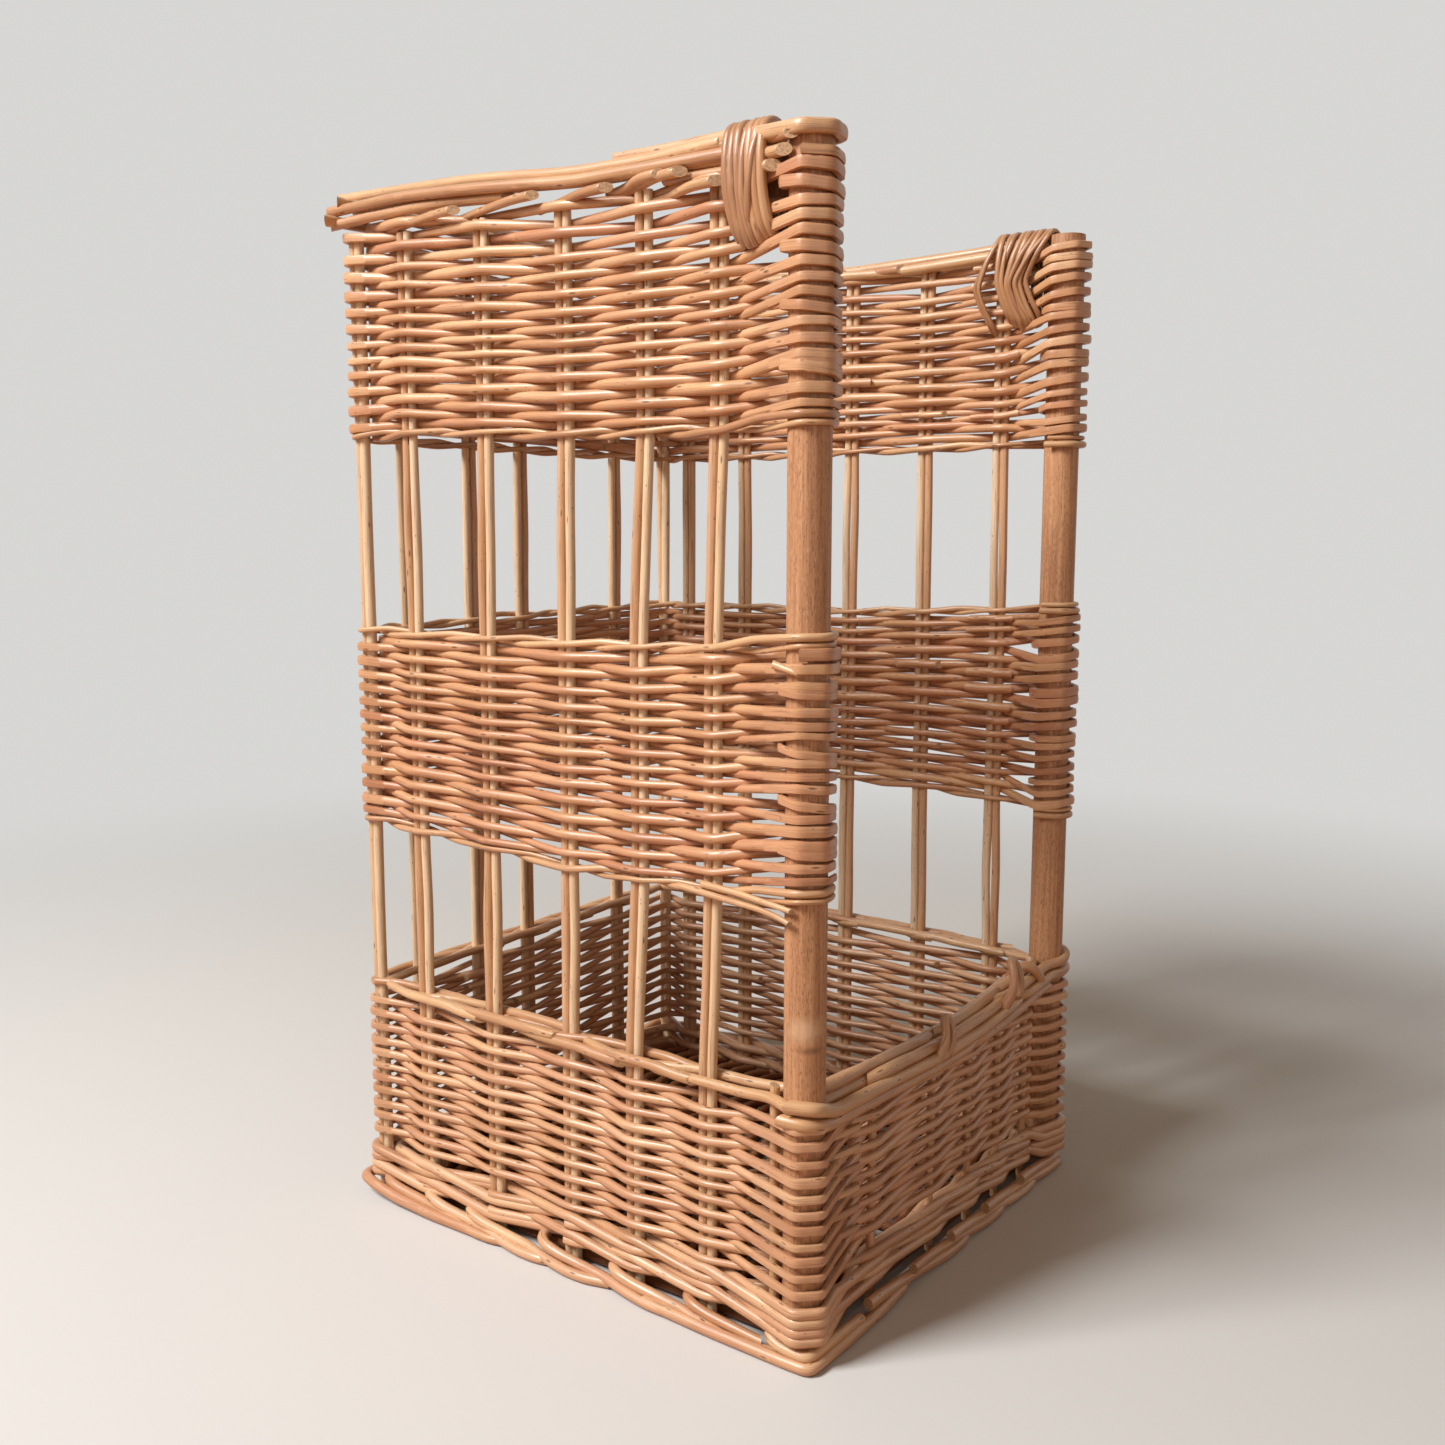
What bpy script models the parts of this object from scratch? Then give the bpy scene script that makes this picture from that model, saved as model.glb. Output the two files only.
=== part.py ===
"""Tall open-fronted wicker bread basket: two dowel posts, willow stakes, three woven tiers.

The front faces -Y and the origin is on the floor under the middle of the foot.
Lengths are metres. Left is -X and right is +X, seen from the front.
"""
import math

import bmesh
import bpy
from mathutils import Matrix, Vector

# Overall frame
post_spacing = 0.281
wall_depth = 0.316
nominal_height = 0.600

# Levels where the woven tiers start and end
tray_top = 0.138
middle_bottom = 0.238
middle_top = 0.359
upper_bottom = 0.466

# Rods and dowels
post_diameter = 0.021
corner_stake_diameter = 0.0086
stake_diameter = 0.0052
weaver_thickness = 0.0046
wrap_thickness = 0.0055
pairing_diameter = 0.0032
rail_diameter = 0.0070
tray_border_diameter = 0.0056
front_border_diameter = 0.0080
foot_diameter = 0.0085
skein_diameter = 0.0044
base_stick_diameter = 0.0090

# Room kept between neighbouring pieces, how far bundled rods press into each other,
# and the overrun of every cutter
clearance = 0.0003
bundle_bite = 0.0009
cut_overrun = 0.004

# Woven surface: two courses to a pitch on a wall, one rib for each turn on a post
course_pair_pitch = 0.0092
upper_course_pair_pitch = 0.0099
least_web = 0.001
corner_rib_depth = 0.0016
wrap_pitch = 0.0083
wrap_rib_depth = 0.0020
wrap_sides = 10
corner_sides = 8

# Foot, base and border
foot_overhang = 0.0155
foot_flat_depth = 0.0005
foot_rod_count = 3
base_thickness = 0.013
base_hollow_thickness = 0.0052
base_stick_inset = 0.028
base_stick_pitch = 0.0427
base_crest_width = 0.015
front_border_twist_radius = 0.0045
front_border_lay = 0.110
front_border_steps = 12
front_border_strands = 3
post_top_recess = 0.004
rail_overhang = 0.0145

# Lashing of the top rail beside each post
lashing_turns = 5
lashing_pitch = 0.0050
lashing_drop = 0.052
lashing_from_post = 0.022
over_share = 0.3

# Stake places along each wall, as shares of that wall, from the front post or the left corner
left_tray_shares = (0.190, 0.347, 0.494, 0.684, 0.866)
left_upper_shares = (0.165, 0.312, 0.484, 0.674, 0.868)
right_tray_shares = (0.125, 0.296, 0.481, 0.620, 0.758, 0.924)
right_upper_shares = (0.130, 0.300, 0.478, 0.618, 0.762, 0.922)
back_tray_shares = (0.115, 0.296, 0.459, 0.620, 0.795)
back_upper_shares = (0.109, 0.301, 0.465, 0.630, 0.803)
front_shares = (0.233, 0.464, 0.626, 0.763, 0.895)

# How far the hand-made top edge stands above or below the nominal height, at each corner
top_shift_front_left = -0.002
top_shift_front_right = -0.006
top_shift_back_left = 0.008
top_shift_back_right = 0.001

# Values that follow from the sizes above
half_span = post_spacing / 2
half_depth = wall_depth / 2
post_radius = post_diameter / 2
corner_radius = corner_stake_diameter / 2
stake_radius = stake_diameter / 2
pairing_radius = pairing_diameter / 2
rail_radius = rail_diameter / 2
foot_radius = foot_diameter / 2
wall_half = stake_radius + clearance + weaver_thickness
wall_hollow = stake_radius + clearance + least_web
sleeve_radius = post_radius + clearance + wrap_thickness
corner_sleeve_radius = corner_radius + clearance + weaver_thickness
foot_top = foot_diameter - foot_flat_depth
base_top = foot_top + clearance + base_thickness
rail_step = rail_diameter - bundle_bite
rail_nest = math.sqrt(rail_step ** 2 - (rail_step / 2) ** 2)
rail_bottom = nominal_height - rail_diameter - rail_step - rail_nest
pairing_zone = 2 * pairing_diameter - bundle_bite
tray_border_zone = 2 * tray_border_diameter
tray_border_half = corner_radius + clearance + tray_border_diameter
stake_bottom = foot_top + clearance
stake_top = rail_bottom - clearance

# Colours of the willow and the dowels
dowel_brown = (0.42, 0.22, 0.11)
stake_straw = (0.66, 0.43, 0.22)
weaver_buff = (0.52, 0.28, 0.14)
wrap_tan = (0.50, 0.25, 0.12)
border_tan = (0.46, 0.24, 0.11)
skein_brown = (0.38, 0.17, 0.07)
foot_buff = (0.50, 0.28, 0.15)
base_brown = (0.36, 0.19, 0.09)


def clear_scene():
    """Remove whatever objects the file holds."""
    for item in list(bpy.data.objects):
        bpy.data.objects.remove(item, do_unlink=True)


def new_collection(name):
    """Make a collection in the scene."""
    collection = bpy.data.collections.new(name)
    bpy.context.scene.collection.children.link(collection)
    return collection


def willow(name, colour, roughness=0.42):
    """Make one material of plain colour and satin gloss."""
    material = bpy.data.materials.new(name)
    material.use_nodes = True
    shader = material.node_tree.nodes["Principled BSDF"]
    shader.inputs["Base Color"].default_value = (*colour, 1)
    shader.inputs["Roughness"].default_value = roughness
    shader.inputs["Metallic"].default_value = 0
    material.diffuse_color = (*colour, 1)
    return material


def palette():
    """The basket's materials by name."""
    return {
        "dowel": willow("dowel_wood", dowel_brown, 0.5),
        "stake": willow("stake_willow", stake_straw),
        "tray": willow("tray_willow", weaver_buff),
        "middle": willow("middle_willow", weaver_buff),
        "upper": willow("upper_willow", weaver_buff),
        "wrap": willow("wrap_willow", wrap_tan, 0.36),
        "pairing": willow("pairing_willow", border_tan),
        "rail": willow("rail_willow", border_tan),
        "border": willow("border_willow", border_tan),
        "skein": willow("skein_willow", skein_brown),
        "foot": willow("foot_willow", foot_buff),
        "base": willow("base_willow", base_brown, 0.55),
    }


def add_object(name, data, material):
    """Put mesh or curve data into the basket as a named piece."""
    item = bpy.data.objects.new(name, data)
    basket.objects.link(item)
    data.materials.append(material)
    return item


def as_mesh(item):
    """Turn a curve or a piece with modifiers into a plain welded mesh, standing in place."""
    bpy.context.view_layer.update()
    evaluated = item.evaluated_get(bpy.context.evaluated_depsgraph_get())
    mesh = bpy.data.meshes.new_from_object(evaluated)
    work = bmesh.new()
    work.from_mesh(mesh)
    bmesh.ops.remove_doubles(work, verts=work.verts, dist=clearance / 30)
    work.to_mesh(mesh)
    work.free()
    mesh.transform(item.matrix_world)
    name = item.name
    bpy.data.objects.remove(item, do_unlink=True)
    solid = bpy.data.objects.new(name, mesh)
    basket.objects.link(solid)
    return solid


def fuse(items):
    """Join overlapping pieces into one body under the name of the first."""
    whole = as_mesh(items[0])
    for item in items[1:]:
        other = as_mesh(item)
        modifier = whole.modifiers.new(other.name, 'BOOLEAN')
        modifier.operation = 'UNION'
        modifier.object = other
        modifier.solver = 'EXACT'
        whole = as_mesh(whole)
        bpy.data.objects.remove(other, do_unlink=True)
    return whole


def bundle(name, paths, radius, material, detail=2):
    """Rods that press into each other, fused into one body."""
    rods = [tube(name, [paths[0]], radius, material, detail)]
    for index, path in enumerate(paths[1:]):
        rods.append(tube(name + "_rod_" + str(index), [path], radius, material, detail))
    return fuse(rods)


def tube(name, paths, radius, material, detail=2):
    """Rods of one thickness, each along its own list of points, with filled ends."""
    curve = bpy.data.curves.new(name, 'CURVE')
    curve.dimensions = '3D'
    curve.bevel_depth = radius
    curve.bevel_resolution = detail
    curve.use_fill_caps = True
    for path in paths:
        spline = curve.splines.new('POLY')
        spline.points.add(len(path) - 1)
        for point, place in zip(spline.points, path):
            point.co = (*place, 1)
    return add_object(name, curve, material)


def flat_outline(name, loops, half_thickness, material):
    """A flat outline, with any inner loops as holes, thickened to both sides."""
    curve = bpy.data.curves.new(name, 'CURVE')
    curve.dimensions = '2D'
    curve.fill_mode = 'BOTH'
    curve.extrude = half_thickness
    for loop in loops:
        spline = curve.splines.new('POLY')
        spline.points.add(len(loop) - 1)
        for point, (across, up) in zip(spline.points, loop):
            point.co = (across, up, 0, 1)
        spline.use_cyclic_u = True
    return add_object(name, curve, material)


def boxes(name, places, sizes):
    """Cutter made of one box for each place."""
    mesh = bpy.data.meshes.new(name)
    work = bmesh.new()
    for place, size in zip(places, sizes):
        frame = Matrix.Translation(place) @ Matrix.Diagonal((*size, 1))
        bmesh.ops.create_cube(work, size=1, matrix=frame)
    work.to_mesh(mesh)
    work.free()
    return add_cutter(name, mesh)


def drum(name, place, radius, height, sides, tilt=0):
    """Cutter made of one cylinder that starts at the place, a flat side facing +X.

    It stands upright, or tilts from +Z towards +Y by an angle.
    """
    mesh = bpy.data.meshes.new(name)
    work = bmesh.new()
    middle = Matrix.Translation(place) @ Matrix.Rotation(-tilt, 4, 'X')
    middle = middle @ Matrix.Translation((0, 0, height / 2))
    middle = middle @ Matrix.Rotation(math.pi / sides, 4, 'Z')
    bmesh.ops.create_cone(work, cap_ends=True, segments=sides, radius1=radius, radius2=radius,
                          depth=height, matrix=middle)
    work.to_mesh(mesh)
    work.free()
    return add_cutter(name, mesh)


def outside(radius, sides):
    """Corner radius of a many-sided hole whose flats still clear a round rod."""
    return radius / math.cos(math.pi / sides)


def add_cutter(name, mesh):
    """Keep a cutter out of the basket and out of the picture."""
    item = bpy.data.objects.new(name, mesh)
    cutters.objects.link(item)
    item.hide_render = True
    item.display_type = 'WIRE'
    return item


def cut(item, cutter):
    """Take the cutter's space out of the piece."""
    modifier = item.modifiers.new(cutter.name, 'BOOLEAN')
    modifier.operation = 'DIFFERENCE'
    modifier.object = cutter
    modifier.solver = 'EXACT'
    return item


def shade(item):
    """Smooth the rounded faces and keep the crisp edges."""
    item.data.shade_smooth()
    item.data.set_sharp_from_angle(angle=math.radians(30))
    return item


def top_shift(x, y):
    """Height of the top edge over its nominal level, by straight steps between the corners."""
    across = (x + half_span) / post_spacing
    back = (y + half_depth) / wall_depth
    front_edge = top_shift_front_left * (1 - across) + top_shift_front_right * across
    back_edge = top_shift_back_left * (1 - across) + top_shift_back_right * across
    return front_edge * (1 - back) + back_edge * back


def settled(x, y, z):
    """Height of a point of the upper tier, where the top edge isn't level."""
    share = max(0, (z - upper_bottom) / (nominal_height - upper_bottom))
    return z + share * top_shift(x, y)


def settle(item):
    """Move a finished mesh of the upper tier to the slope of the top edge."""
    for vertex in item.data.vertices:
        x, y, z = vertex.co
        vertex.co.z = settled(x, y, z)
    return item


def settle_path(path):
    """The same slope for the points of a rod."""
    return [(x, y, settled(x, y, z)) for x, y, z in path]


class Wall:
    """One side of the basket: a start point, a direction along it and an outward direction."""

    def __init__(self, name, start, along, outward, length, tray_shares, upper_shares):
        self.name = name
        self.start = Vector(start)
        self.along = Vector(along)
        self.outward = Vector(outward)
        self.length = length
        self.tray_places = [share * length for share in tray_shares]
        self.upper_places = [share * length for share in upper_shares]

    def point(self, distance, offset, z):
        """World point at a distance along the wall, an offset outward and a height."""
        flat = self.start + self.along * distance + self.outward * offset
        return (flat.x, flat.y, z)

    def stake_places(self, z):
        """Where the stakes stand at a height: they lean from the tray to the upper tier."""
        share = (z - tray_top) / (upper_bottom - tray_top)
        share = min(1, max(0, share))
        pairs = zip(self.tray_places, self.upper_places)
        return [low + (high - low) * share for low, high in pairs]


def walls():
    """The four sides, each from its front or left end."""
    left = Wall("left", (-half_span, -half_depth, 0), (0, 1, 0), (-1, 0, 0), wall_depth,
                left_tray_shares, left_upper_shares)
    right = Wall("right", (half_span, -half_depth, 0), (0, 1, 0), (1, 0, 0), wall_depth,
                 right_tray_shares, right_upper_shares)
    back = Wall("back", (-half_span, half_depth, 0), (1, 0, 0), (0, 1, 0), post_spacing,
                back_tray_shares, back_upper_shares)
    front = Wall("front", (-half_span, -half_depth, 0), (1, 0, 0), (0, -1, 0), post_spacing,
                 front_shares, front_shares)
    return left, back, right, front


def post(name, x, material):
    """Turned dowel in a front corner, standing on the foot, its top hidden by the wraps."""
    height = nominal_height + top_shift(x, -half_depth) - post_top_recess - stake_bottom
    curve_points = [(x, -half_depth, stake_bottom), (x, -half_depth, stake_bottom + height)]
    return tube(name, [curve_points], post_radius, material, detail=8)


def corner_stake(name, x, material):
    """One thick willow rod in a back corner."""
    top = settled(x, half_depth, stake_top)
    return tube(name, [[(x, half_depth, stake_bottom), (x, half_depth, top)]],
                corner_radius, material, detail=2)


def band_levels():
    """Height ranges where a stake runs upright inside the weave."""
    return ((stake_bottom, tray_top), (middle_bottom, middle_top), (upper_bottom, stake_top))


def stake_pair(name, wall, index, material):
    """Two rods side by side, upright in each tier and leaning in the gaps between the tiers."""
    paths = []
    for side in (-1, 1):
        shift = side * (stake_radius - bundle_bite / 2)
        path = []
        for low, high in band_levels():
            place = wall.stake_places((low + high) / 2)[index] + shift
            path.append(wall.point(place, 0, low))
            path.append(wall.point(place, 0, high))
        paths.append(settle_path(path))
    return bundle(name, paths, stake_radius, material, detail=1)


def front_stake(name, wall, place, material):
    """Single stake of the low front wall, which ends under its border."""
    top = tray_top - front_border_zone() - clearance
    path = [wall.point(place, 0, stake_bottom), wall.point(place, 0, top)]
    return tube(name, [path], stake_radius, material, detail=2)


def rib_heights(bottom, top, pitch):
    """Valley and crest heights of evenly spaced ribs, from the bottom up."""
    count = max(1, round((top - bottom) / pitch))
    step = (top - bottom) / count
    heights = []
    for index in range(count):
        heights.append((bottom + index * step, False))
        heights.append((bottom + (index + 0.5) * step, True))
    heights.append((top, False))
    return heights


def ribbed_outline(bottom, top):
    """Section across a tray wall: one rib for two courses, on both faces."""
    heights = rib_heights(bottom, top, course_pair_pitch)
    outer = [(wall_half if is_crest else wall_hollow, z) for z, is_crest in heights]
    inner = [(-offset, z) for offset, z in reversed(outer)]
    return outer + inner


def woven_section(heights, swing):
    """Section across a woven wall: courses move out and in by turns, up the outer face and back."""
    thickness = wall_half + wall_hollow
    outer = []
    for z, is_crest in heights:
        shift = swing if is_crest else -swing
        outer.append((thickness / 2 + shift, z))
    inner = [(offset - thickness, z) for offset, z in reversed(outer)]
    return outer + inner


def woven_sheet(name, wall, bottom, top, pitch, material):
    """Woven wall lofted from stake to stake: a course that is outside one stake is inside the next.

    Each square of the loft is split between its two hollow corners, so every stroke of a rod
    stands out as a long diamond.
    """
    heights = rib_heights(bottom, top, pitch)
    start, end = panel_ends(wall)
    swing = (wall_half - wall_hollow) / 2
    sections = [(start, woven_section(heights, 0))]
    for place in wall.stake_places((bottom + top) / 2):
        sections.append((place, woven_section(heights, swing)))
        swing = -swing
    sections.append((end, woven_section(heights, 0)))
    work = bmesh.new()
    rings = [[work.verts.new(wall.point(place, offset, z)) for offset, z in section]
             for place, section in sections]
    around = len(rings[0])
    for index in range(len(rings) - 1):
        reach = [[abs(offset) for offset, z in section] for place, section in sections[index:index + 2]]
        for j in range(around):
            k = (j + 1) % around
            a, b, c, d = rings[index][j], rings[index + 1][j], rings[index + 1][k], rings[index][k]
            if reach[0][j] + reach[1][k] < reach[1][j] + reach[0][k]:
                triangles = (a, b, c), (a, c, d)
            else:
                triangles = (a, b, d), (b, c, d)
            for corners in triangles:
                work.faces.new(corners)
    for ring in (rings[0], rings[-1]):
        for j in range(around // 2 - 1):
            work.faces.new((ring[j], ring[j + 1], ring[around - 2 - j], ring[around - 1 - j]))
    bmesh.ops.recalc_face_normals(work, faces=work.faces)
    mesh = bpy.data.meshes.new(name)
    work.to_mesh(mesh)
    work.free()
    return add_object(name, mesh, material)


def stake_slots(name, wall, bottom, top, single):
    """Cutter for the channels that the stakes run in."""
    height = top - bottom + 2 * cut_overrun
    middle = (bottom + top) / 2
    depth = stake_diameter + 2 * clearance
    width = depth if single else pair_slot_width()
    size = wall.along * width + wall.outward * depth
    size = (abs(size.x), abs(size.y), height)
    places = [wall.point(place, 0, middle) for place in wall.stake_places(middle)]
    return boxes(name, places, [size] * len(places))


def panel_ends(wall):
    """Distances along a wall where its woven panel starts and stops."""
    at_post = sleeve_radius + clearance
    if wall.name == "front":
        return at_post, wall.length - at_post
    if wall.name == "back":
        at_corner = corner_sleeve_radius + clearance
        return at_corner, wall.length - at_corner
    return at_post, wall.length - corner_radius / 2


def upright_panel(name, wall, outline, ends, material):
    """A section carried straight along a wall between two distances."""
    start, end = ends
    panel = flat_outline(name, [outline], (end - start) / 2, material)
    middle = wall.start + wall.along * (start + end) / 2
    turned = Matrix.Rotation(math.radians(90), 4, 'X')
    if abs(wall.along.x) > 0:
        turned = Matrix.Rotation(math.radians(90), 4, 'Z') @ turned
    panel.matrix_world = Matrix.Translation(middle) @ turned
    return as_mesh(panel)


def corner_channel(name, wall, bottom, top):
    """Cutter for the channel of the corner stake."""
    place = wall.point(wall.length, 0, bottom - cut_overrun)
    height = top - bottom + 2 * cut_overrun
    radius = outside(corner_radius + clearance, corner_sides)
    return drum(name, place, radius, height, corner_sides)


def tray_wall(name, wall, bottom, top, material, single=False):
    """Closely woven wall of the tray, in level ribs."""
    panel = upright_panel(name, wall, ribbed_outline(bottom, top), panel_ends(wall), material)
    return finish_wall(panel, wall, bottom, top, course_pair_pitch, material, single)


def band_wall(name, wall, bottom, top, pitch, material):
    """Openly woven wall of the middle or the upper band, with each stroke of its rods."""
    panel = woven_sheet(name, wall, bottom, top, pitch, material)
    return finish_wall(panel, wall, bottom, top, pitch, material, False)


def finish_wall(panel, wall, bottom, top, pitch, material, single):
    """Add the turns at the back corner, and cut a channel for each stake."""
    name = panel.name
    if wall.name in ("left", "right"):
        turns = corner_wraps(name + "_corner", wall.start.x, bottom, top, pitch, material)
        panel = fuse([panel, turns])
        cut(panel, corner_channel(name + "_corner_channel", wall, bottom, top))
    cut(panel, stake_slots(name + "_slots", wall, bottom, top, single))
    return panel


def ribbed_sleeve(name, x, y, bore, radius, rib, heights, sides, material):
    """Turned stack of ribs, one for each turn of the rods that go round an upright."""
    outer = [(radius if is_crest else radius - rib, z) for z, is_crest in reversed(heights)]
    bottom = heights[0][0]
    top = heights[-1][0]
    inner = [(bore, bottom), (bore, top)]
    loop = outer + inner if bore > 0 else [(0, top)] + outer + [(0, bottom)]
    mesh = bpy.data.meshes.new(name)
    edges = [(index, index + 1) for index in range(len(loop) - 1)]
    if bore > 0:
        edges.append((len(loop) - 1, 0))
    mesh.from_pydata([(across, 0, z) for across, z in loop], edges, [])
    sleeve = add_object(name, mesh, material)
    sleeve.location = (x, y, 0)
    screw = sleeve.modifiers.new("turn", 'SCREW')
    screw.steps = sides
    screw.render_steps = sides
    screw.use_merge_vertices = True
    screw.merge_threshold = clearance / 30
    return as_mesh(sleeve)


def post_wraps(name, x, bottom, top, material):
    """The rods of one tier where they turn round a front post."""
    heights = rib_heights(bottom, top, wrap_pitch)
    bore = outside(post_radius + clearance, wrap_sides)
    return ribbed_sleeve(name, x, -half_depth, bore, sleeve_radius,
                         wrap_rib_depth, heights, wrap_sides, material)


def corner_wraps(name, x, bottom, top, pitch, material):
    """The rods of one tier where they turn round a back corner stake, a little over its courses."""
    heights = [(min(z + clearance, top - clearance), is_crest)
               for z, is_crest in rib_heights(bottom, top, pitch)]
    return ribbed_sleeve(name, x, half_depth, 0, corner_sleeve_radius,
                         corner_rib_depth, heights, corner_sides, material)


def wall_stations(wall, z, first_side, swing):
    """Points of a thin rod that passes the stakes of one wall on alternate sides."""
    side = first_side
    half = pair_slot_width() / 2
    points = []
    for place in wall.stake_places(z):
        points.append(wall.point(place - half, side * swing, z))
        points.append(wall.point(place + half, side * swing, z))
        side = -side
    return points, side


def corner_stations(corner, arrive, leave, out_first, out_second, side, swing):
    """Points of a thin rod round a corner stake, outside it or inside it."""
    diagonal = (out_first + out_second) * swing
    if side < 0:
        return [tuple(corner - diagonal)]
    before = corner + out_first * swing - arrive * corner_radius
    after = corner + out_second * swing + leave * corner_radius
    return [tuple(before), tuple(corner + diagonal), tuple(after)]


def pairing_path(sides, z, first_side):
    """One thin rod from the left post round the back to the right post."""
    left, back, right = sides
    stake_swing = stake_radius + clearance + pairing_radius
    corner_swing = corner_radius + clearance + pairing_radius
    start = sleeve_radius + clearance
    path = [left.point(start, 0, z)]
    stations, side = wall_stations(left, z, first_side, stake_swing)
    path += stations
    corner = Vector(left.point(left.length, 0, z))
    path += corner_stations(corner, left.along, back.along, left.outward, back.outward,
                            side, corner_swing)
    stations, side = wall_stations(back, z, -side, stake_swing)
    path += stations
    corner = Vector(right.point(right.length, 0, z))
    path += corner_stations(corner, back.along, -right.along, back.outward, right.outward,
                            side, corner_swing)
    mirrored_side = -side if len(right.tray_places) % 2 else side
    stations, side = wall_stations(right, z, mirrored_side, stake_swing)
    path += reversed(stations)
    path.append(right.point(start, 0, z))
    return path


def pairing(name, sides, bottom, material):
    """Two thin rods round three sides that pass the stakes on opposite sides and cross between."""
    low = bottom + pairing_radius
    high = low + pairing_diameter - bundle_bite
    paths = [pairing_path(sides, low, 1), pairing_path(sides, high, -1)]
    return bundle(name, [settle_path(path) for path in paths], pairing_radius, material, detail=1)


def top_rail(name, wall, material):
    """Bundle of five straight rods on top of a wall: two pairs and one in the groove."""
    half_step = rail_step / 2
    low = rail_bottom + rail_radius
    section = [(-half_step, low), (half_step, low), (-half_step, low + rail_step),
               (half_step, low + rail_step), (0, low + rail_step + rail_nest)]
    if wall.name == "back":
        start = half_step + rail_radius + clearance
        end = wall.length - start
    else:
        start = sleeve_radius + clearance
        end = wall.length + rail_overhang
    paths = []
    for offset, z in section:
        path = [wall.point(start, offset, z), wall.point(end, offset, z)]
        paths.append(settle_path(path))
    return bundle(name, paths, rail_radius, material)


def pair_slot_width():
    """Width of the channel that holds two stakes side by side."""
    return 2 * stake_diameter - bundle_bite + 2 * clearance


def lashing_places(wall):
    """Distance from the post of each turn: side by side, but never through the first stake."""
    stake = wall.stake_places(stake_top)[0]
    keep = pair_slot_width() / 2 + least_web + skein_diameter / 2 + clearance
    distance = lashing_from_post
    places = []
    for _ in range(lashing_turns):
        if abs(distance - stake) < keep:
            distance = stake + keep
        places.append(distance)
        distance += lashing_pitch
    return places


def lashing_reach():
    """How far out from the middle of the wall the strand runs, and how far in it starts to turn."""
    reach = wall_half + clearance + skein_diameter / 2
    return reach, reach / 2


def lashing(name, wall, material):
    """One strand wound round the rail and through the weave, stepping sideways over the top."""
    radius = skein_diameter / 2
    reach, shoulder = lashing_reach()
    top = nominal_height + clearance + radius
    low = top - lashing_drop
    down = [(reach, top - shoulder), (reach, low + shoulder), (shoulder, low),
            (-shoulder, low), (-reach, low + shoulder), (-reach, top - shoulder)]
    over = [(-shoulder, top, over_share), (shoulder, top, 1 - over_share)]
    distances = lashing_places(wall)
    points = []
    for distance, following in zip(distances, distances[1:] + distances[-1:]):
        points += [wall.point(distance, offset, z) for offset, z in down]
        if following > distance:
            step = following - distance
            points += [wall.point(distance + share * step, offset, z) for offset, z, share in over]
    points = settle_path(points)
    print(name, "least gap to itself", round(self_gap(points, len(down), skein_diameter), 5))
    return tube(name, [points], radius, material, detail=1)


def self_gap(points, per_turn, thickness):
    """Least free space between one turn and the next, measured on points along the strand."""
    shares = (0, 0.25, 0.5, 0.75)
    dense = []
    for first, second in zip(points, points[1:]):
        dense += [Vector(first).lerp(Vector(second), share) for share in shares]
    away = len(shares) * per_turn // 2
    gaps = []
    for index, place in enumerate(dense):
        gaps += [(place - other).length for other in dense[index + away:]]
    return min(gaps) - thickness


def lashing_windows(name, wall):
    """Cutter for the gaps in the weave where the lashing passes through."""
    side_room = skein_diameter / 2 + clearance
    groups = []
    for place in lashing_places(wall):
        if groups and place - groups[-1][1] < 2 * side_room + least_web:
            groups[-1][1] = place
        else:
            groups.append([place, place])
    shoulder = lashing_reach()[1]
    slope_rise = wall_half - shoulder + skein_diameter / 2 * math.sqrt(2) + clearance
    low = nominal_height + clearance + skein_diameter / 2 - lashing_drop
    height = side_room + slope_rise
    z = low - side_room + height / 2
    depth = 2 * (wall_half + cut_overrun)
    places = []
    sizes = []
    for first, last in groups:
        size = wall.along * (last - first + 2 * side_room) + wall.outward * depth
        sizes.append((abs(size.x), abs(size.y), height))
        places.append(wall.point((first + last) / 2, 0, z))
    return boxes(name, places, sizes)


def tray_border(name, wall, material):
    """Two thick rods outside and two inside the stakes, laid on top of a tray wall."""
    bottom = tray_top - tray_border_zone
    crest = tray_border_half
    valley = crest - tray_border_diameter / 4
    heights = rib_heights(bottom, tray_top, tray_border_diameter)
    outer = [(crest if is_crest else valley, z) for z, is_crest in heights]
    outline = outer + [(-offset, z) for offset, z in reversed(outer)]
    if wall.name == "back":
        start = tray_border_half + clearance
        ends = (start, wall.length - start)
    else:
        ends = (sleeve_radius + clearance, wall.length + tray_border_half)
    border = upright_panel(name, wall, outline, ends, material)
    cut(border, stake_slots(name + "_slots", wall, bottom, tray_top, False))
    if wall.name != "back":
        cut(border, corner_channel(name + "_corner_channel", wall, bottom, tray_top))
    return border


def front_border_zone():
    """Height of the thick border on the low front wall."""
    return 2 * front_border_twist_radius + front_border_diameter


def front_border(name, wall, material):
    """Three thick rods laid round each other like a rope, from post to post."""
    slope = math.atan(2 * math.pi * front_border_twist_radius / front_border_lay)
    tilted_end = front_border_diameter / 2 * math.sin(slope)
    start = sleeve_radius + clearance + tilted_end
    length = wall.length - 2 * start
    centre = tray_top - front_border_zone() / 2
    paths = []
    for strand in range(front_border_strands):
        path = []
        for step in range(front_border_steps + 1):
            distance = length * step / front_border_steps
            turn = 2 * math.pi * (distance / front_border_lay + strand / front_border_strands)
            offset = front_border_twist_radius * math.cos(turn)
            z = centre + front_border_twist_radius * math.sin(turn)
            path.append(wall.point(start + distance, offset, z))
        paths.append(path)
    return bundle(name, paths, front_border_diameter / 2, material)


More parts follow.
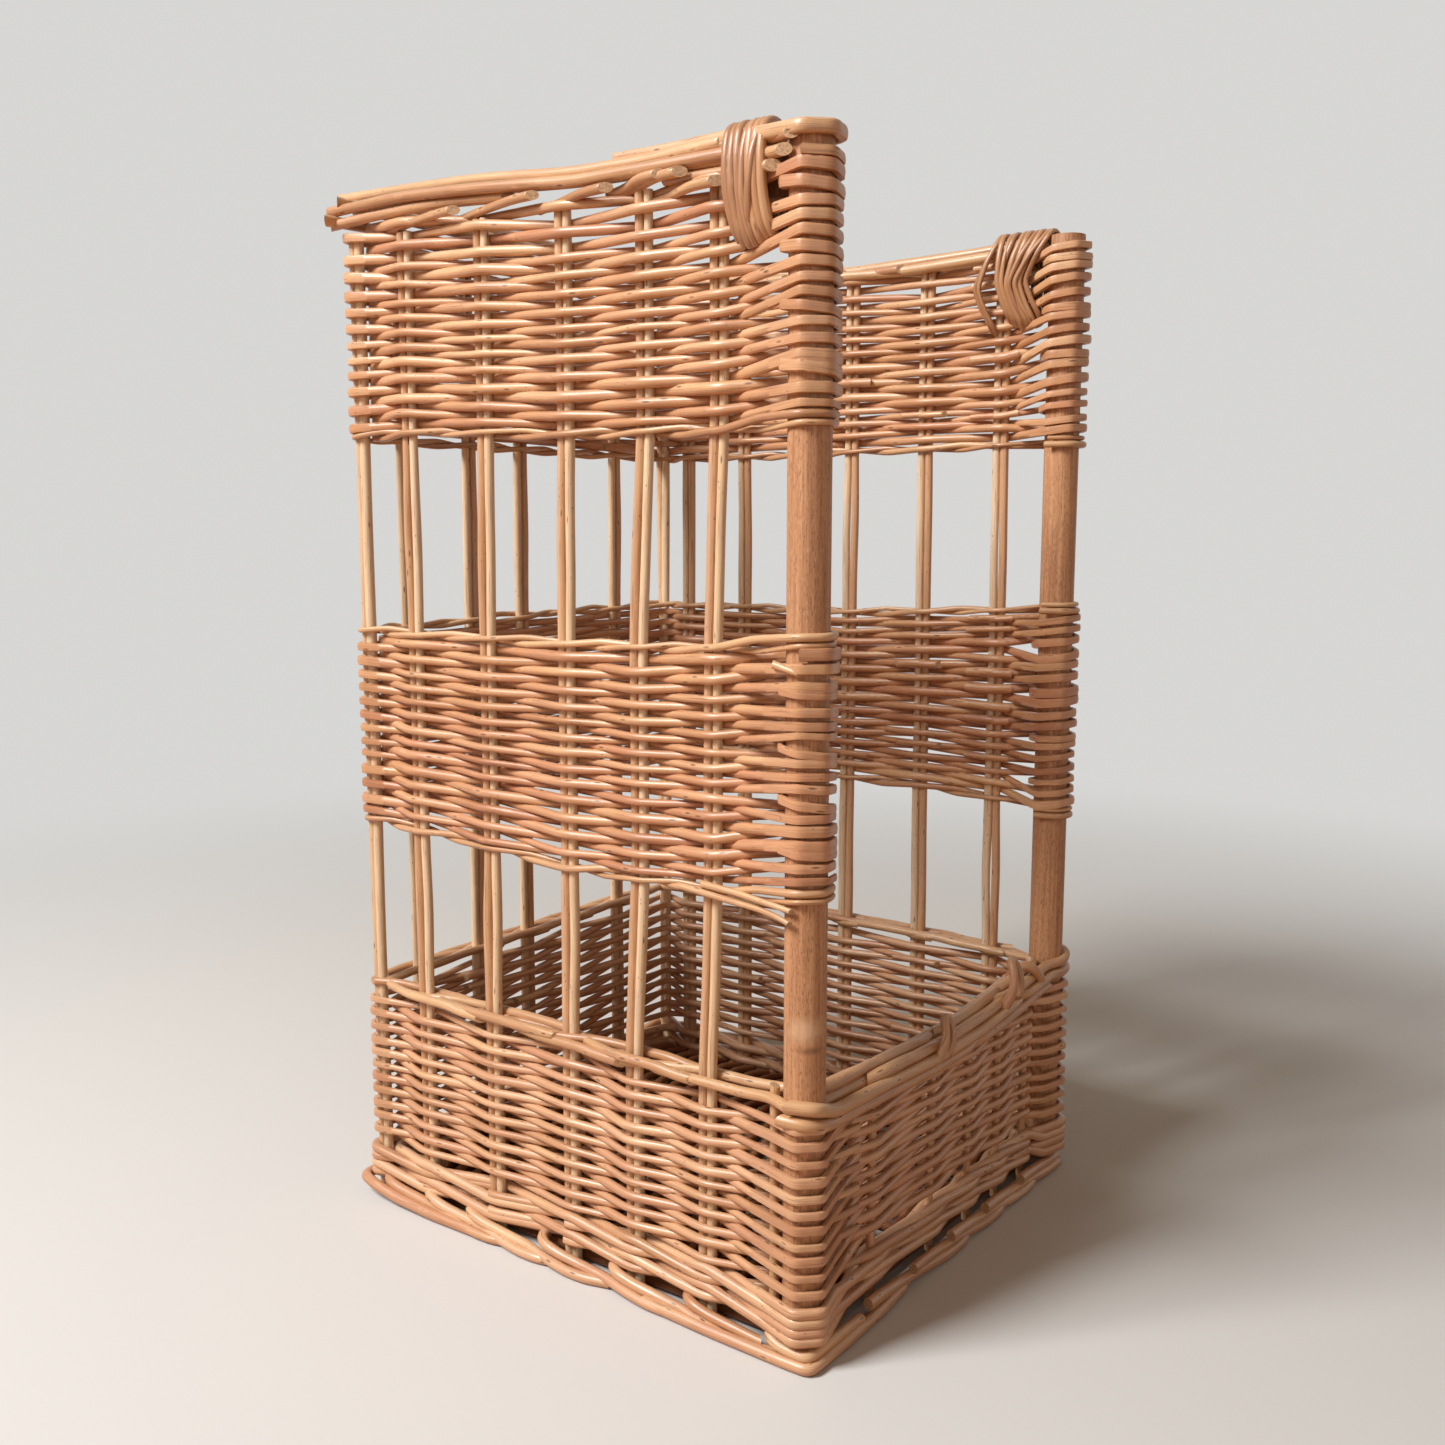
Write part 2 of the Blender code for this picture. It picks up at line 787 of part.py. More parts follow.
def foot_offsets():
    """Outward distance of each foot rod from the line of the stakes."""
    step = foot_diameter - bundle_bite
    outer = foot_overhang - foot_radius
    return [outer - index * step for index in range(foot_rod_count)]


def foot(name, wall, material):
    """Thick rods under a wall, cut flat where they stand on the table."""
    offsets = foot_offsets()
    inner_edge = offsets[-1] - foot_radius
    if wall.name in ("left", "right"):
        start = -foot_overhang
        end = wall.length + foot_overhang
    else:
        start = -inner_edge + clearance
        end = wall.length - start
    z = foot_radius - foot_flat_depth
    paths = [[wall.point(start, offset, z), wall.point(end, offset, z)] for offset in offsets]
    rods = bundle(name, paths, foot_radius, material)
    slab_height = foot_diameter
    size = (2 * post_spacing, 2 * wall_depth, slab_height)
    return cut(rods, boxes(name + "_floor", [(0, 0, -slab_height / 2)], [size]))


def stick_places():
    """Places of the two thick sticks at the sides of the base."""
    place = base_half_width() - base_stick_inset
    return (-place, place)


def base_half_width():
    """Half the width of the woven base, inside the walls."""
    return half_span - wall_half - clearance


def base_half_length():
    """Half the depth of the woven base, inside the walls."""
    return half_depth - wall_half - clearance


def base_crests():
    """Middles of the ridges over the base sticks, from left to right."""
    outer = stick_places()[1]
    gaps = max(1, round(2 * outer / base_stick_pitch))
    return [-outer + 2 * outer * index / gaps for index in range(gaps + 1)]


def base_section(middle):
    """Upper half of the section across the base: a ridge over each stick, hollows between."""
    width = base_half_width()
    crest = base_thickness / 2
    hollow = base_hollow_thickness / 2
    flat = base_crest_width / 2
    slope = (crest - hollow) / 2
    points = [(-width, middle + hollow)]
    for x in base_crests():
        points += [(x - flat - slope, middle + hollow), (x - flat, middle + crest),
                   (x + flat, middle + crest), (x + flat + slope, middle + hollow)]
    points.append((width, middle + hollow))
    return points


def ridged_slab(name, section, middle, half_length, material):
    """A section mirrored below its middle height and carried from front to back."""
    work = bmesh.new()
    ends = []
    for y in (-half_length, half_length):
        upper = [work.verts.new((x, y, z)) for x, z in section]
        lower = [work.verts.new((x, y, 2 * middle - z)) for x, z in section]
        ends.append((upper, lower))
    front, back = ends
    for i in range(len(section) - 1):
        for upper, lower in ends:
            work.faces.new((upper[i], upper[i + 1], lower[i + 1], lower[i]))
        for near, far in zip(front, back):
            work.faces.new((near[i], near[i + 1], far[i + 1], far[i]))
    for i in (0, -1):
        work.faces.new((front[0][i], back[0][i], back[1][i], front[1][i]))
    bmesh.ops.recalc_face_normals(work, faces=work.faces)
    mesh = bpy.data.meshes.new(name)
    work.to_mesh(mesh)
    work.free()
    return add_object(name, mesh, material)


def base_weave(name, material):
    """Woven base, ridged over its sticks, with a channel for each thick stick and post room."""
    bottom = foot_top + clearance
    middle = (bottom + base_top) / 2
    base = ridged_slab(name, base_section(middle), middle, base_half_length(), material)
    bore = outside(base_stick_diameter / 2 + clearance, corner_sides)
    length = 2 * (base_half_length() + cut_overrun)
    for x, label in zip(stick_places(), ("left", "right")):
        place = (x, -length / 2, middle)
        cut(base, drum(name + "_channel_" + label, place, bore, length, corner_sides,
                       tilt=math.radians(90)))
    reach = outside(sleeve_radius + clearance, 2 * wrap_sides)
    height = base_thickness + 2 * cut_overrun
    for side, label in ((-1, "left"), (1, "right")):
        place = (side * half_span, -half_depth, bottom - cut_overrun)
        cut(base, drum(name + "_notch_" + label, place, reach, height, 2 * wrap_sides))
    return base


def base_stick(name, x, material):
    """Thick stick inside the woven base, from front to back."""
    middle = foot_top + clearance + base_thickness / 2
    length = base_half_length()
    path = [(x, -length, middle), (x, length, middle)]
    return tube(name, [path], base_stick_diameter / 2, material, detail=2)


def make_posts_and_stakes(sides, materials):
    """Everything that stands upright."""
    for label, x in (("left", -half_span), ("right", half_span)):
        post("post_" + label, x, materials["dowel"])
        corner_stake("corner_stake_" + label, x, materials["stake"])
    for wall in sides[:3]:
        for index in range(len(wall.tray_places)):
            name = "stakes_" + wall.name + "_" + str(index + 1)
            stake_pair(name, wall, index, materials["stake"])
    for index, place in enumerate(sides[3].tray_places):
        front_stake("stake_front_" + str(index + 1), sides[3], place, materials["stake"])


def make_tray(sides, materials):
    """Bottom tier: four woven walls, the turns round the posts, and the borders."""
    bottom = foot_top + clearance
    top = tray_top - tray_border_zone - clearance
    for wall in sides[:3]:
        tray_wall("tray_weave_" + wall.name, wall, bottom, top, materials["tray"])
        tray_border("tray_border_" + wall.name, wall, materials["border"])
    front = sides[3]
    top = tray_top - front_border_zone() - clearance
    tray_wall("tray_weave_front", front, bottom, top, materials["tray"], single=True)
    front_border("front_border", front, materials["border"])
    for label, x in (("left", -half_span), ("right", half_span)):
        post_wraps("tray_wraps_" + label, x, bottom, tray_top, materials["wrap"])


def make_middle_tier(sides, materials):
    """Middle tier: three woven walls bound by thin rods at both edges."""
    bottom = middle_bottom + pairing_zone + clearance
    top = middle_top - pairing_zone - clearance
    for wall in sides[:3]:
        band_wall("middle_weave_" + wall.name, wall, bottom, top, course_pair_pitch,
                  materials["middle"])
    pairing("middle_lower_pairing", sides[:3], middle_bottom, materials["pairing"])
    high = middle_top - pairing_zone
    pairing("middle_upper_pairing", sides[:3], high, materials["pairing"])
    for label, x in (("left", -half_span), ("right", half_span)):
        name = "middle_wraps_" + label
        post_wraps(name, x, middle_bottom, middle_top, materials["wrap"])


def make_upper_tier(sides, materials):
    """Upper tier: three woven walls, the top rail and its lashings."""
    bottom = upper_bottom + pairing_zone + clearance
    top = rail_bottom - clearance
    for wall in sides[:3]:
        panel = band_wall("upper_weave_" + wall.name, wall, bottom, top, upper_course_pair_pitch,
                          materials["upper"])
        if wall.name != "back":
            cut(panel, lashing_windows(panel.name + "_windows", wall))
            lashing("lashing_" + wall.name, wall, materials["skein"])
        settle(as_mesh(panel))
        top_rail("top_rail_" + wall.name, wall, materials["rail"])
    pairing("upper_pairing", sides[:3], upper_bottom, materials["pairing"])
    for label, x in (("left", -half_span), ("right", half_span)):
        name = "upper_wraps_" + label
        settle(post_wraps(name, x, upper_bottom, nominal_height, materials["wrap"]))


def make_foot_and_base(sides, materials):
    """The thick border that the basket stands on, and its floor."""
    for wall in sides:
        foot("foot_" + wall.name, wall, materials["foot"])
    base_weave("base_weave", materials["base"])
    for label, x in zip(("left", "right"), stick_places()):
        base_stick("base_stick_" + label, x, materials["base"])


clear_scene()
basket = new_collection("tiered_bread_basket")
cutters = new_collection("cutters")
all_walls = walls()
willows = palette()
make_posts_and_stakes(all_walls, willows)
make_tray(all_walls, willows)
make_middle_tier(all_walls, willows)
make_upper_tier(all_walls, willows)
make_foot_and_base(all_walls, willows)
for piece in basket.objects:
    if piece.type == 'MESH':
        shade(piece)
print("pieces", len(basket.objects))
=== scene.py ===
# %% [markdown]
# # A tiered bread basket, woven rod by rod
#
# This lesson dresses the plain CAD model of a tall wicker bread stand. Willow is simple stuff:
# every part of the basket is a round, tapering rod that bends. So nearly every piece here is made
# in one way. We work out where the middle of a rod runs, and carry a ring of points along it.
#
# The CAD nodes of the two dowels stay. Each woven solid is replaced by real rods in its place.
# The front of the basket faces -Y, left is -X, and lengths are metres.

import math

import bpy
import numpy as np
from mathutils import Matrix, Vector


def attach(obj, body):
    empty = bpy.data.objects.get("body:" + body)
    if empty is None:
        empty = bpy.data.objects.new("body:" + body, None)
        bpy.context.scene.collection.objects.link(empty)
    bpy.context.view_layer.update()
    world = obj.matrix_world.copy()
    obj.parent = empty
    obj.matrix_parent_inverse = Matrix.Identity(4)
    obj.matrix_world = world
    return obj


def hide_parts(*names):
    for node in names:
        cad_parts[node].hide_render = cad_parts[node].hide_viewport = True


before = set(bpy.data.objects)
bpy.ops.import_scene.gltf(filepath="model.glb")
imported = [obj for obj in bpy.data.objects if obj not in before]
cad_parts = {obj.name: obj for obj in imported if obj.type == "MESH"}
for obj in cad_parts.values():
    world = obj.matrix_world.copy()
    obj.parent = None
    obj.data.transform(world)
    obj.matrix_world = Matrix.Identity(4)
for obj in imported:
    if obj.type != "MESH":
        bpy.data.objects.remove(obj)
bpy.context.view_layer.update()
chance = np.random.default_rng(11)
print("CAD nodes", len(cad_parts))

# %% [markdown]
# ## Camera
# The photograph was taken from the left of the basket's front, a little above its middle. A
# camera is placed from its position, its heading and its tilt: the heading turns from +Y to +X.

# %% Camera
def placed(name, data):
    """An object with its data, linked into the scene."""
    item = bpy.data.objects.new(name, data)
    bpy.context.scene.collection.objects.link(item)
    return item


camera_place = Vector((-0.7100, -0.5332, 0.4201))
heading, tilt = math.radians(53.22), math.radians(-7.97)
focal_length, sensor_width = 36.05, 36
looking = Vector((math.sin(heading) * math.cos(tilt), math.cos(heading) * math.cos(tilt),
                  math.sin(tilt)))
camera = placed("camera", bpy.data.cameras.new("camera"))
camera.data.lens = focal_length
camera.data.sensor_width = sensor_width
camera.data.clip_start = 0.02
camera.location = camera_place
camera.rotation_euler = looking.to_track_quat("-Z", "Y").to_euler()
bpy.context.scene.camera = camera
print("camera", focal_length, "mm at", np.round(camera_place, 2).tolist())

# %% [markdown]
# ## Where the uprights stand
# A weaver walks round the basket: from the left post backwards, along the back, forwards to the
# right post, and along the low front wall. Each upright is met in that order. It has a place, an
# outward direction before and after it, and a reach, its half thickness.

# %% Uprights in weaving order
half_span, half_depth = 0.1405, 0.158
tray_top, middle_bottom, middle_top, upper_bottom = 0.138, 0.238, 0.359, 0.466
post_reach, corner_reach, stake_reach = 0.0105, 0.0043, 0.0021
pair_half, single_half = 0.0034, 0.0014
kink_angle, kink_reach = 30, 1.12
middle_lean = 0.49
shoulder, shoulder_reach = 0.0155, 0.0062
walls = (
    ("left", (-half_span, -half_depth), (0, 1), (-1, 0), 2 * half_depth,
     (0.190, 0.347, 0.494, 0.684, 0.866), (0.165, 0.312, 0.484, 0.674, 0.868)),
    ("back", (-half_span, half_depth), (1, 0), (0, 1), 2 * half_span,
     (0.115, 0.296, 0.459, 0.620, 0.795), (0.109, 0.301, 0.465, 0.630, 0.803)),
    ("right", (half_span, half_depth), (0, -1), (1, 0), 2 * half_depth,
     (0.076, 0.242, 0.380, 0.519, 0.704, 0.875), (0.078, 0.238, 0.382, 0.522, 0.700, 0.870)),
    ("front", (half_span, -half_depth), (-1, 0), (0, -1), 2 * half_span,
     (0.105, 0.237, 0.374, 0.536, 0.767), (0.105, 0.237, 0.374, 0.536, 0.767)),
)
wall_named = {wall[0]: wall for wall in walls}


def unit(v):
    """Vectors divided by their own length."""
    v = np.asarray(v, float)
    return v / np.linalg.norm(v, axis=-1, keepdims=True)


def uprights(lean):
    """Every upright in weaving order; lean runs from 0 in the tray to 1 in the upper tier.

    A stake's distance along its wall is the tray place plus lean times the way to the upper one.
    """
    found = []
    travelled = 0
    for index, (name, start, ahead, out, length, low, high) in enumerate(walls):
        start, ahead, out = (np.array(v, float) for v in (start, ahead, out))
        before = np.array(walls[index - 1][3], float)
        post = name in ("left", "front")
        reach, kind = (post_reach, "post") if post else (corner_reach, "corner")
        found.append((start, before, out, ahead, reach, kind, travelled, name))
        for a, b in zip(low, high):
            far = (a + (b - a) * lean) * length
            found.append((start + ahead * far, out, out, ahead, stake_reach, "stake",
                          travelled + far, name))
        travelled += length
    return found


def on_wall(name, distance, offset, z):
    """A point at a distance along a wall (in weaving order), an offset outward and a height."""
    start, ahead, out = wall_named[name][1:4]
    return (start[0] + ahead[0] * distance + out[0] * offset,
            start[1] + ahead[1] * distance + out[1] * offset, z)


tray_uprights, middle_uprights, upper_uprights = (
    uprights(lean) for lean in (0, middle_lean, 1))
around = sum(wall[4] for wall in walls)
print("uprights", len(tray_uprights), "round", round(around, 3), "m")

# %% [markdown]
# ## A rod's middle line
# A willow rod bends softly: it touches an upright on one side, then the next one on the other
# side. We only write down where it must pass. Averaging those corners with a bell curve gives the
# soft bend, just as stiffness does in the real rod.

# %% Smooth lines through given points
fine_step = 0.0012


def smooth_line(points, soft, keep=2):
    """Sample a polyline evenly, then average it with a bell curve of width `soft`.

    Each end is continued straight first, by turning the line about its end point. Extra columns
    after x, y and z are carried along.
    """
    points = np.asarray(points, float)
    gaps = np.linalg.norm(np.diff(points[:, :3], axis=0), axis=1)
    along = np.concatenate([[0], np.cumsum(gaps)])
    count = max(int(along[-1] / fine_step), 6)
    even = np.linspace(0, along[-1], count)
    dense = np.stack([np.interp(even, along, column) for column in points.T], 1)
    reach = min(int(3 * soft / fine_step), count - 2)
    bell = np.exp(-0.5 * (np.arange(-reach, reach + 1) * fine_step / soft) ** 2)
    bell /= bell.sum()
    padded = np.concatenate([2 * dense[0] - dense[reach:0:-1], dense,
                             2 * dense[-1] - dense[-2:-reach - 2:-1]])
    smooth = np.stack([np.convolve(column, bell, "valid") for column in padded.T], 1)
    return smooth[::keep]


def drift(count, wave, size):
    """Slow random wandering: noise averaged over `wave` samples and scaled to `size`."""
    wave = max(int(wave), 1)
    noise = chance.normal(size=count + 2 * wave)
    window = np.hanning(2 * wave + 1)
    slow = np.convolve(noise, window / np.sqrt((window ** 2).sum()), "valid")
    return size * slow[:count]


# %% [markdown]
# ## From a line to a rod
# A rod is a ring of points carried along the line. At each step the ring lies across the line:
# one axis is level, the other leans as little as it can. A flattened rod, as where willow turns
# round a post, is a ring with two different half widths. A knife cut is a ring pushed along the
# rod more on one side than on the other.
#
# Three attributes go with the points: `grain` runs along the rod, so that fibres and knots follow
# it, `tone` is one number for each rod, and `cut` is 1 on the pale wood of a cut end.

# %% Rods into one mesh
squaring, narrowing, heightening = 0.40, 0.36, 0.05
rim_share, sharp_angle = 0.86, math.radians(55)


def rod(line, radius, up=(0, 0, 1), flat=None, start_cut=0.0, end_cut=0.0, tone=None):
    """One rod: middle line, radius at each point, the upward hint, flattening and slanted cuts."""
    line = np.asarray(line, float)
    radius = np.broadcast_to(np.asarray(radius, float), len(line)).copy()
    flat = np.zeros(len(line)) if flat is None else np.asarray(flat, float)
    tone = chance.uniform() if tone is None else tone
    return {"line": line, "radius": radius, "up": np.array(up, float), "flat": flat,
            "cuts": (start_cut, end_cut), "tone": tone}


def rings(item, sides):
    """Rings of a rod: middle + across * half width * cos(turn) + upright * half height * sin(turn).

    Where a rod is flattened, cos and sin are raised to a power below 1, which squares the ring.
    Near a cut end each point moves along the rod by slant * half width * cos(turn), fading out.
    """
    line, radius, flat = item["line"], item["radius"][:, None], item["flat"][:, None]
    tangent = unit(np.gradient(line, axis=0))
    across = unit(np.cross(tangent, item["up"]))
    upright = np.cross(across, tangent)
    turn = 2 * np.pi * np.arange(sides) / sides
    power = 1 - squaring * flat
    wide = radius * (1 - narrowing * flat) * np.sign(np.cos(turn)) * np.abs(np.cos(turn)) ** power
    tall = radius * (1 + heightening * flat) * np.sign(np.sin(turn)) * np.abs(np.sin(turn)) ** power
    along = np.concatenate([[0], np.cumsum(np.linalg.norm(np.diff(line, axis=0), axis=1))])
    slide = np.zeros((len(line), sides))
    for slant, far in zip(item["cuts"], (along, along[-1] - along)):
        if slant:
            room = 3 * abs(slant) * radius[:, 0]
            slide += slant * wide * np.clip(1 - far / room, 0, 1)[:, None]
    points = (line[:, None] + wide[..., None] * across[:, None] + tall[..., None] * upright[:, None]
              + slide[..., None] * tangent[:, None])
    shift = 7.3 * item["tone"]
    grain = np.stack([wide, tall, np.broadcast_to(along[:, None] + shift, wide.shape)], -1)
    return points, grain


def closed_rod(item, sides):
    """Points, faces and attributes of one closed rod: sides, and at each end a rim and a hub."""
    points, grain = rings(item, sides)
    count = len(points)
    ends = [(points[row], grain[row]) for row in (0, -1)]
    inner = [p.mean(0) + rim_share * (p - p.mean(0)) for p, _ in ends]
    hubs = [p.mean(0)[None] for p, _ in ends]
    places = np.concatenate([points.reshape(-1, 3), *inner, *hubs])
    grains = np.concatenate([grain.reshape(-1, 3), *[g for _, g in ends],
                             *[g.mean(0)[None] for _, g in ends]])
    cut = np.zeros(len(places))
    cut[count * sides:] = 1
    j = np.arange(sides)
    k = (j + 1) % sides
    i = np.arange(count - 1)[:, None] * sides
    side = np.stack([i + j, i + sides + j, i + sides + k, i + k], -1).reshape(-1, 4)
    first, last = count * sides, count * sides + sides
    hub = count * sides + 2 * sides
    tail = (count - 1) * sides
    rim = np.concatenate([np.stack([j, k, first + k, first + j], -1),
                          np.stack([tail + j, last + j, last + k, tail + k], -1)])
    fans = np.concatenate([np.stack([np.full(sides, hub), first + j, first + k], -1),
                           np.stack([np.full(sides, hub + 1), last + k, last + j], -1)])
    return places, np.concatenate([side, rim]), fans, grains, cut


def rod_object(name, rods, material, sides=10):
    """Join closed rods into one mesh object with its attributes and smooth sides."""
    places, quads, fans, grains, cuts, tones = [], [], [], [], [], []
    total = 0
    for item in rods:
        p, q, f, g, c = closed_rod(item, sides)
        places.append(p)
        quads.append(q + total)
        fans.append(f + total)
        grains.append(g)
        cuts.append(c)
        tones.append(np.full(len(p), item["tone"]))
        total += len(p)
    places, quads, fans = (np.concatenate(v) for v in (places, quads, fans))
    mesh = bpy.data.meshes.new(name)
    mesh.vertices.add(len(places))
    mesh.vertices.foreach_set("co", places.ravel())
    corners = np.concatenate([quads.ravel(), fans.ravel()])
    sizes = np.concatenate([np.full(len(quads), 4), np.full(len(fans), 3)])
    mesh.loops.add(len(corners))
    mesh.loops.foreach_set("vertex_index", corners)
    mesh.polygons.add(len(sizes))
    mesh.polygons.foreach_set("loop_start", np.concatenate([[0], np.cumsum(sizes)[:-1]]))
    mesh.update(calc_edges=True)
    mesh.validate()
    for label, values, form, key in (("grain", grains, "FLOAT_VECTOR", "vector"),
                                     ("tone", tones, "FLOAT", "value"),
                                     ("cut", cuts, "FLOAT", "value")):
        mesh.attributes.new(label, form, "POINT").data.foreach_set(
            key, np.concatenate(values).ravel())
    mesh.shade_smooth()
    mesh.set_sharp_from_angle(angle=sharp_angle)
    mesh.materials.append(material)
    item = placed(name, mesh)
    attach(item, "root")
    triangles = 2 * len(quads) + len(fans)
    length = sum(np.linalg.norm(np.diff(r["line"], axis=0), axis=1).sum() for r in rods)
    print(name, len(rods), "rods", round(length, 2), "m", triangles, "triangles")
    return item


# %% [markdown]
# ## Willow
# Stripped willow is buff to reddish tan, each rod a little different. Its skin has a satin shine,
# fine fibres along the rod, small dark scars where side shoots sat, and fly specks. The colour
# starts from a ramp over `tone`, and the rest follows the `grain` attribute, so that nothing slides
# when the view changes.

# %% Node helpers
def feed(tree, node, **inputs):
    """Set or link a node's inputs by name, or by number as in n0."""
    for key, value in inputs.items():
        socket = node.inputs[int(key[1:]) if key[0] == "n" and key[1:].isdigit()
                             else key.replace("_", " ")]
        if isinstance(value, bpy.types.NodeSocket):
            tree.links.new(value, socket)
        else:
            socket.default_value = value
    return node


def add_node(tree, kind, settings=(), **inputs):
    """Add a shader node, set its properties, and set or link its inputs."""
    node = tree.nodes.new("ShaderNode" + kind)
    for key, value in dict(settings).items():
        setattr(node, key, value)
    return feed(tree, node, **inputs)


def ramp(tree, factor, stops, smooth=False):
    """A colour ramp of (place, colour or grey) stops."""
    node = add_node(tree, "ValToRGB", Fac=factor)
    node.color_ramp.interpolation = "EASE" if smooth else "LINEAR"
    while len(node.color_ramp.elements) < len(stops):
        node.color_ramp.elements.new(0.5)
    for element, (place, colour) in zip(node.color_ramp.elements, stops):
        element.position = place
        element.color = (*colour, 1) if isinstance(colour, tuple) else (colour,) * 3 + (1,)
    return node.outputs["Color"]


def mixed(tree, factor, first, second, blend="MIX"):
    """One colour laid over another by a factor; a colour is a socket or three numbers."""
    first, second = ((*c, 1) if isinstance(c, tuple) else c for c in (first, second))
    return add_node(tree, "Mix", {"data_type": "RGBA", "blend_type": blend}, n0=factor, n6=first,
                    n7=second).outputs[2]


def maths(tree, operation, first, second=0.0):
    """One sum on two numbers."""
    return add_node(tree, "Math", {"operation": operation}, n0=first,
                    n1=second).outputs[0]


def over(tree, base, source, stops, colour):
    """A colour laid over the base, as strongly as the ramp of a source says."""
    return mixed(tree, ramp(tree, source, stops), base, colour)


def stretched(tree, vector, scale):
    """A vector stretched by a scale along each axis."""
    return add_node(tree, "Mapping", Vector=vector, Scale=scale).outputs[0]


def noise(tree, vector, scale, detail=2.0, rough=0.55):
    """Soft noise over a stretched vector."""
    return add_node(tree, "TexNoise", Vector=stretched(tree, vector, scale), Scale=1.0,
                    Detail=detail, Roughness=rough).outputs["Fac"]


def spots(tree, vector, scale):
    """Distance to the nearest of scattered points in a stretched vector."""
    return add_node(tree, "TexVoronoi", {"feature": "F1"}, Scale=1.0,
                    Vector=stretched(tree, vector, scale)).outputs["Distance"]


def new_material(name):
    """An empty material with a principled shader; returns the material, its tree and the shader."""
    material = bpy.data.materials.new(name)
    material.use_nodes = True
    tree = material.node_tree
    return material, tree, tree.nodes["Principled BSDF"]


# %% [markdown]
# ## One recipe for all willow
# Seen from close by, peeled rods are alike: only their colours, their gloss and their age differ.
# So one function makes every willow, and each place on the basket gives it its own ramp of tones.
# The willow of the base is also multiplied darker, as painted shadow.

# %% Willow material
def willow(name, tones, shine=0.38, painted_shade=(1.0, 1.0, 1.0), blush=0.40, coat=0.36):
    """Willow skin: tone ramp, slow blotches, fibres, scars and specks along the grain.

    `shine` is the roughness of the skin, `painted_shade` a colour that the skin is multiplied by,
    which paints shadow into it (white leaves it as it is), `blush` the strength of its reddish
    blotches, and `coat` the weight of the clear layer on it.
    """
    material, tree, shader = new_material(name)
    grain, tone, cut = (
        add_node(tree, "Attribute", {"attribute_name": label}).outputs[output]
        for label, output in (("grain", "Vector"), ("tone", "Fac"), ("cut", "Fac")))
    base = ramp(tree, tone, tones)
    for scale, stops, colour in (
            ((60, 60, 16), ((0.36, 0.0), (0.66, blush)), (0.50, 0.215, 0.120)),
            ((45, 45, 9), ((0.50, 0.0), (0.78, 0.55)), (0.80, 0.52, 0.27))):
        base = over(tree, base, noise(tree, grain, scale), stops, colour)
    fibre = noise(tree, grain, (2600, 2600, 45), 3.0, 0.6)
    base = mixed(tree, 1.0, base, ramp(tree, fibre, ((0.30, 0.74), (0.62, 1.05))), "MULTIPLY")
    crack = noise(tree, grain, (1250, 1250, 34))
    base = over(tree, base, crack, ((0.62, 0.0), (0.70, 0.60)), (0.22, 0.085, 0.032))
    scar = spots(tree, grain, (190, 190, 48))
    base = over(tree, base, scar, ((0.05, 0.80), (0.13, 0.0)), (0.10, 0.035, 0.014))
    base = over(tree, base, scar, ((0.12, 0.0), (0.16, 0.30), (0.24, 0.0)), (0.80, 0.50, 0.28))
    dots = ramp(tree, spots(tree, grain, (520, 520, 210)), ((0.10, 0.75), (0.18, 0.0)))
    some = ramp(tree, noise(tree, grain, (90, 90, 60), 1.0), ((0.56, 0.0), (0.62, 1.0)))
    base = mixed(tree, maths(tree, "MULTIPLY", dots, some), base, (0.12, 0.05, 0.025))
    end = ramp(tree, noise(tree, grain, (900, 900, 900), 3.0),
               ((0.35, (0.32, 0.175, 0.085)), (0.65, (0.58, 0.37, 0.20))))
    base = mixed(tree, cut, base, end)
    # painted shadow: the skin multiplied by the `painted_shade` colour, which darkens only the base
    base = mixed(tree, 1.0, base, painted_shade, "MULTIPLY")
    gloss = ramp(tree, noise(tree, grain, (140, 140, 30), 3.0),
                 ((0.3, shine - 0.07), (0.7, shine + 0.12)))
    gloss = maths(tree, "ADD", gloss, maths(tree, "MULTIPLY", cut, 0.3))
    waves = maths(tree, "MULTIPLY", noise(tree, grain, (160, 160, 60)), 0.9)
    height = maths(tree, "ADD", maths(tree, "MULTIPLY", fibre, 0.35), waves)
    height = maths(tree, "SUBTRACT", height, ramp(tree, scar, ((0.04, 0.6), (0.14, 0.0))))
    bump = add_node(tree, "Bump", Height=height, Strength=0.45, Distance=0.0005)
    feed(tree, shader, Base_Color=base, Roughness=gloss, Specular_IOR_Level=0.2 + coat * 0.8,
         Coat_Weight=coat, Coat_Roughness=0.32, Normal=bump.outputs["Normal"])
    return material


buff_tones = ((0.0, (0.48, 0.215, 0.085)), (0.2, (0.69, 0.380, 0.185)), (0.4, (0.57, 0.270, 0.120)),
              (0.6, (0.79, 0.485, 0.260)), (0.8, (0.63, 0.295, 0.145)), (1.0, (0.42, 0.170, 0.072)))
tray_tones = ((0.0, (0.52, 0.255, 0.115)), (0.3, (0.71, 0.410, 0.220)), (0.6, (0.61, 0.310, 0.160)),
              (1.0, (0.79, 0.495, 0.285)))
stake_tones = ((0.0, (0.60, 0.330, 0.165)), (0.45, (0.70, 0.425, 0.240)),
               (0.55, (0.76, 0.550, 0.330)), (1.0, (0.83, 0.640, 0.430)))
thick_tones = ((0.0, (0.46, 0.220, 0.090)), (0.5, (0.60, 0.335, 0.155)),
               (1.0, (0.72, 0.450, 0.230)))
upper_willow = willow("upper_willow", buff_tones)
middle_willow = willow("middle_willow", buff_tones)
tray_willow = willow("tray_willow", tray_tones, 0.36)
stake_willow = willow("stake_willow", stake_tones, 0.36, blush=0.15)
pairing_willow, rail_willow, border_willow = (
    willow(name, thick_tones) for name in ("pairing_willow", "rail_willow", "border_willow"))
skein_tones = ((0.0, (0.38, 0.175, 0.072)), (1.0, (0.54, 0.270, 0.118)))
skein_willow = willow("skein_willow", skein_tones, 0.36, blush=0.2)
foot_willow = willow("foot_willow", tray_tones, 0.36)
